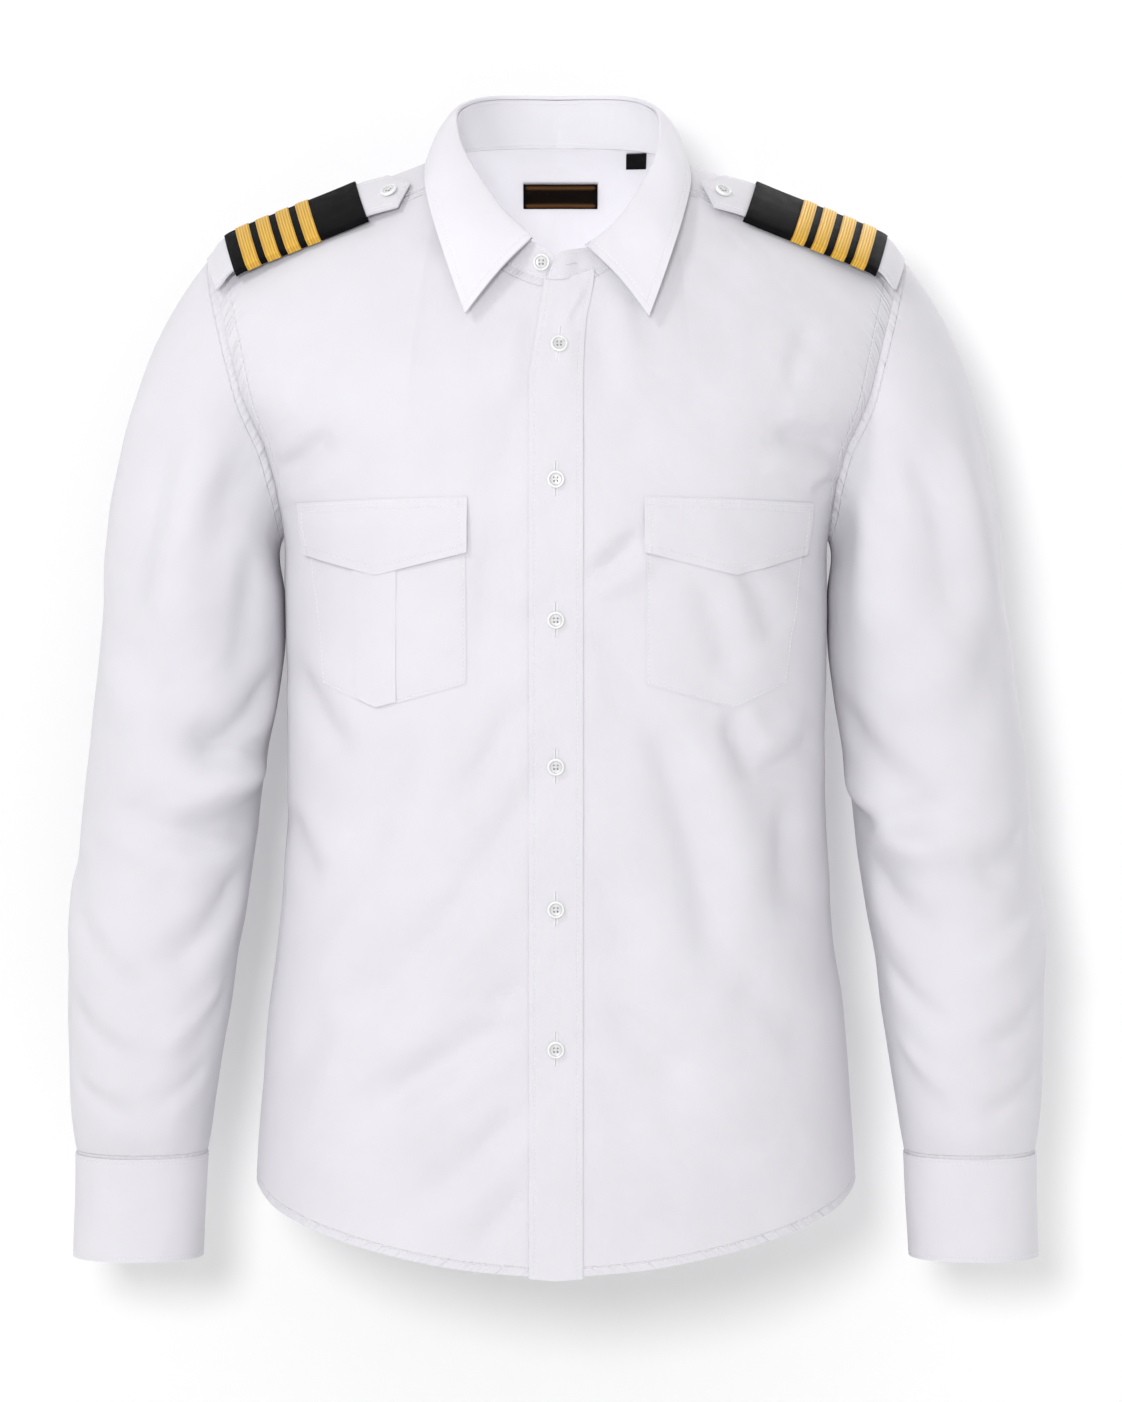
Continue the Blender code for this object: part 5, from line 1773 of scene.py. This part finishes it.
def add_board_button(name, side):
    def on_board(along, across, lift):
        return board_point(side, along, across + BOARD_BUTTON_SHIFT, board_lift(along) + lift, STRAP_DRAW)

    foot = on_board(EPAULETTE_BUTTON, 0.0, 0.25)
    above = on_board(EPAULETTE_BUTTON, 0.0, 1.25)
    add_button("epaulette_button_" + name, foot, above - foot)
    across, lips = buttonhole_profile(1.5, 11)
    along = np.linspace(EPAULETTE_BUTTON - 8.5, EPAULETTE_BUTTON + 7.5, 30)[:, None]
    hole = on_board(along + 0 * across, across + 0 * along, lips - 0.12)
    add_buttonhole("epaulette_buttonhole_" + name, hole, outward_up)


def add_boards():
    for name, side in SIDES:
        for add in (add_epaulette, add_slider, add_board_button):
            add(name, side)


def add_button(node, foot, normal):
    face, pit, knot = button(node, foot, normal)
    keep(face, node)
    keep(pit, None)
    keep(knot, None)


def add_placket_buttons():
    for number, z in enumerate(PLACKET_BUTTONS, 1):
        x = placket_x(0.0, z)
        foot = front_at(x, z, 1.4)
        add_button("placket_button_%d" % number, foot, front_at(x, z, 2.4) - foot)
        add_buttonhole("placket_buttonhole_%d" % number, placket_buttonhole(z), outward_forward)


def add_labels():
    grid = inside_grid(-34.2, -18.0, -22.5, 28.5, 40, 14)
    bulge = 0.9 * np.sin(np.linspace(0.4, 8.4, 40)) * np.sin(np.linspace(0, math.pi, 14))[:, None] ** 0.5
    grid = grid + np.stack([0 * bulge, -0.4 - 0.5 * bulge, 0.45 * bulge], axis=-1)
    fields = seams(grid, 0, "first", "last", "sides")
    add_cloth("neck_label", grid, outward_up, LABEL, "tape", "label_weave", wall=0.8, fields=fields)
    grid = inside_grid(-8.0, 1.5, 48.0, 61.5, 12, 10)
    add_cloth("size_tab", grid, outward_up, TAB, "tape", "label_weave", wall=0.8)


# ---------------------------------------------------------------- stage, light and camera


def sheet_of_paper(name, corners, material):
    """A flat sheet of paper of the stage."""
    mesh = bpy.data.meshes.new(name)
    mesh.from_pydata(corners, [], [(0, 1, 2, 3)])
    mesh.materials.append(material)
    obj = linked(bpy.data.objects.new(name, mesh))


def floor_material():
    n = Nodes("studio_paper", 0.9)
    n.colour(n.noise(n.place(), 300.0, 2.0), 0.3, 0.7, (0.885, 0.885, 0.885), (0.915, 0.915, 0.915))
    return n.material


def backdrop_material():
    """Pale paper that is clear from behind and to shadows."""
    n = Nodes("backdrop_paper", 0.9, Emission_Strength=0.03)
    n.shader.inputs["Base Color"].default_value = (0.93, 0.93, 0.93, 1)
    n.shader.inputs["Emission Color"].default_value = (1, 1, 1, 1)
    behind = n.new("ShaderNodeNewGeometry").outputs["Backfacing"]
    shadow = n.new("ShaderNodeLightPath").outputs["Is Shadow Ray"]
    clear = n.new("ShaderNodeBsdfTransparent")
    mix = n.new("ShaderNodeMixShader")
    n.feed(mix.inputs, (n.math("MAXIMUM", behind, shadow), n.shader.outputs[0], clear.outputs[0]))
    n.link(mix.outputs[0], n.tree.nodes["Material Output"].inputs["Surface"])
    return n.material


def add_stage():
    low, y = FLOOR_HEIGHT, BACKDROP_DEPTH
    floor = [(-6, -6, low), (6, -6, low), (6, 6, low), (-6, 6, low)]
    backdrop = [(-5, y, low), (5, y, low), (5, y, 3.0), (-5, y, 3.0)]
    sheet_of_paper("floor", floor, floor_material())
    sheet_of_paper("backdrop", backdrop, backdrop_material())


def turned_to(direction):
    """Turn of a light or camera that looks in a direction."""
    return direction.to_track_quat("-Z", "Y")


def add_light(name, place, target, size, power, receivers=None):
    data = bpy.data.lights.new(name, "AREA")
    data.shape = "DISK"
    data.size = size
    data.energy = power
    obj = linked(bpy.data.objects.new(name, data))
    obj.location = place
    obj.rotation_mode = "QUATERNION"
    obj.rotation_quaternion = turned_to(Vector(target) - Vector(place))
    if receivers:
        obj.light_linking.receiver_collection = receivers
    return obj


def collection_of(name, pieces):
    """Pieces that a light is kept to."""
    collection = bpy.data.collections.new(name)
    for piece in pieces:
        collection.objects.link(bpy.data.objects[piece])
    return collection


def add_camera():
    data = bpy.data.cameras.new("camera")
    data.lens = CAMERA_LENS
    data.sensor_width = CAMERA_SENSOR
    data.clip_end = 100
    back = Vector((0, -math.cos(CAMERA_TILT), math.sin(CAMERA_TILT)))
    obj = linked(bpy.data.objects.new("camera", data))
    obj.location = Vector(CAMERA_TARGET) + back * CAMERA_DISTANCE
    obj.rotation_mode = "QUATERNION"
    obj.rotation_quaternion = turned_to(-back)
    bpy.context.scene.camera = obj


def add_world():
    world = bpy.data.worlds.new("studio")
    world.use_nodes = True
    background = world.node_tree.nodes["Background"]
    background.inputs["Color"].default_value = (1, 1, 1, 1)
    background.inputs["Strength"].default_value = WORLD_STRENGTH
    bpy.context.scene.world = world


add_camera()
add_world()
add_stage()
add_light("front", (-0.6, -4.4, 0.5), (0, 0, -0.36), 0.85, 74)
add_light("back_soft", (1.5, 2.4, 1.3), (0, 0, -0.35), 1.2, 40)

add_fronts()
add_back()
add_yoke()
add_placket()
add_sleeves()
add_stand()
add_leaf()
add_pockets()
add_boards()
add_placket_buttons()
add_labels()

bpy.context.scene.view_settings.view_transform = "Standard"
MESHES = [obj.name for obj in bpy.context.scene.objects if obj.type == "MESH"]
SHIRT = collection_of("shirt", [name for name in MESHES if name not in ("floor", "backdrop")])
NECK = collection_of("neck_inside", ["yoke_cloth", "back_cloth", "collar_stand_cloth", "collar_stand_sewing"])
COLLAR = collection_of("collar_leaf_only", ["collar_leaf_cloth", "collar_leaf_sewing"])
add_light("key", (-1.6, -1.6, 1.55), (0, 0, -0.35), 0.6, 16.5, SHIRT)
add_light("low", (0.3, -4.2, -0.25), (0, 0, 0), 0.9, 5, SHIRT)
add_light("inside", (0, -0.02, -0.24), (0, 0.075, -0.02), 0.12, 0.43, NECK).visible_camera = False
add_light("collar", (-0.4, -2.4, 0.6), (0, 0, 0), 0.5, 9.0, COLLAR)
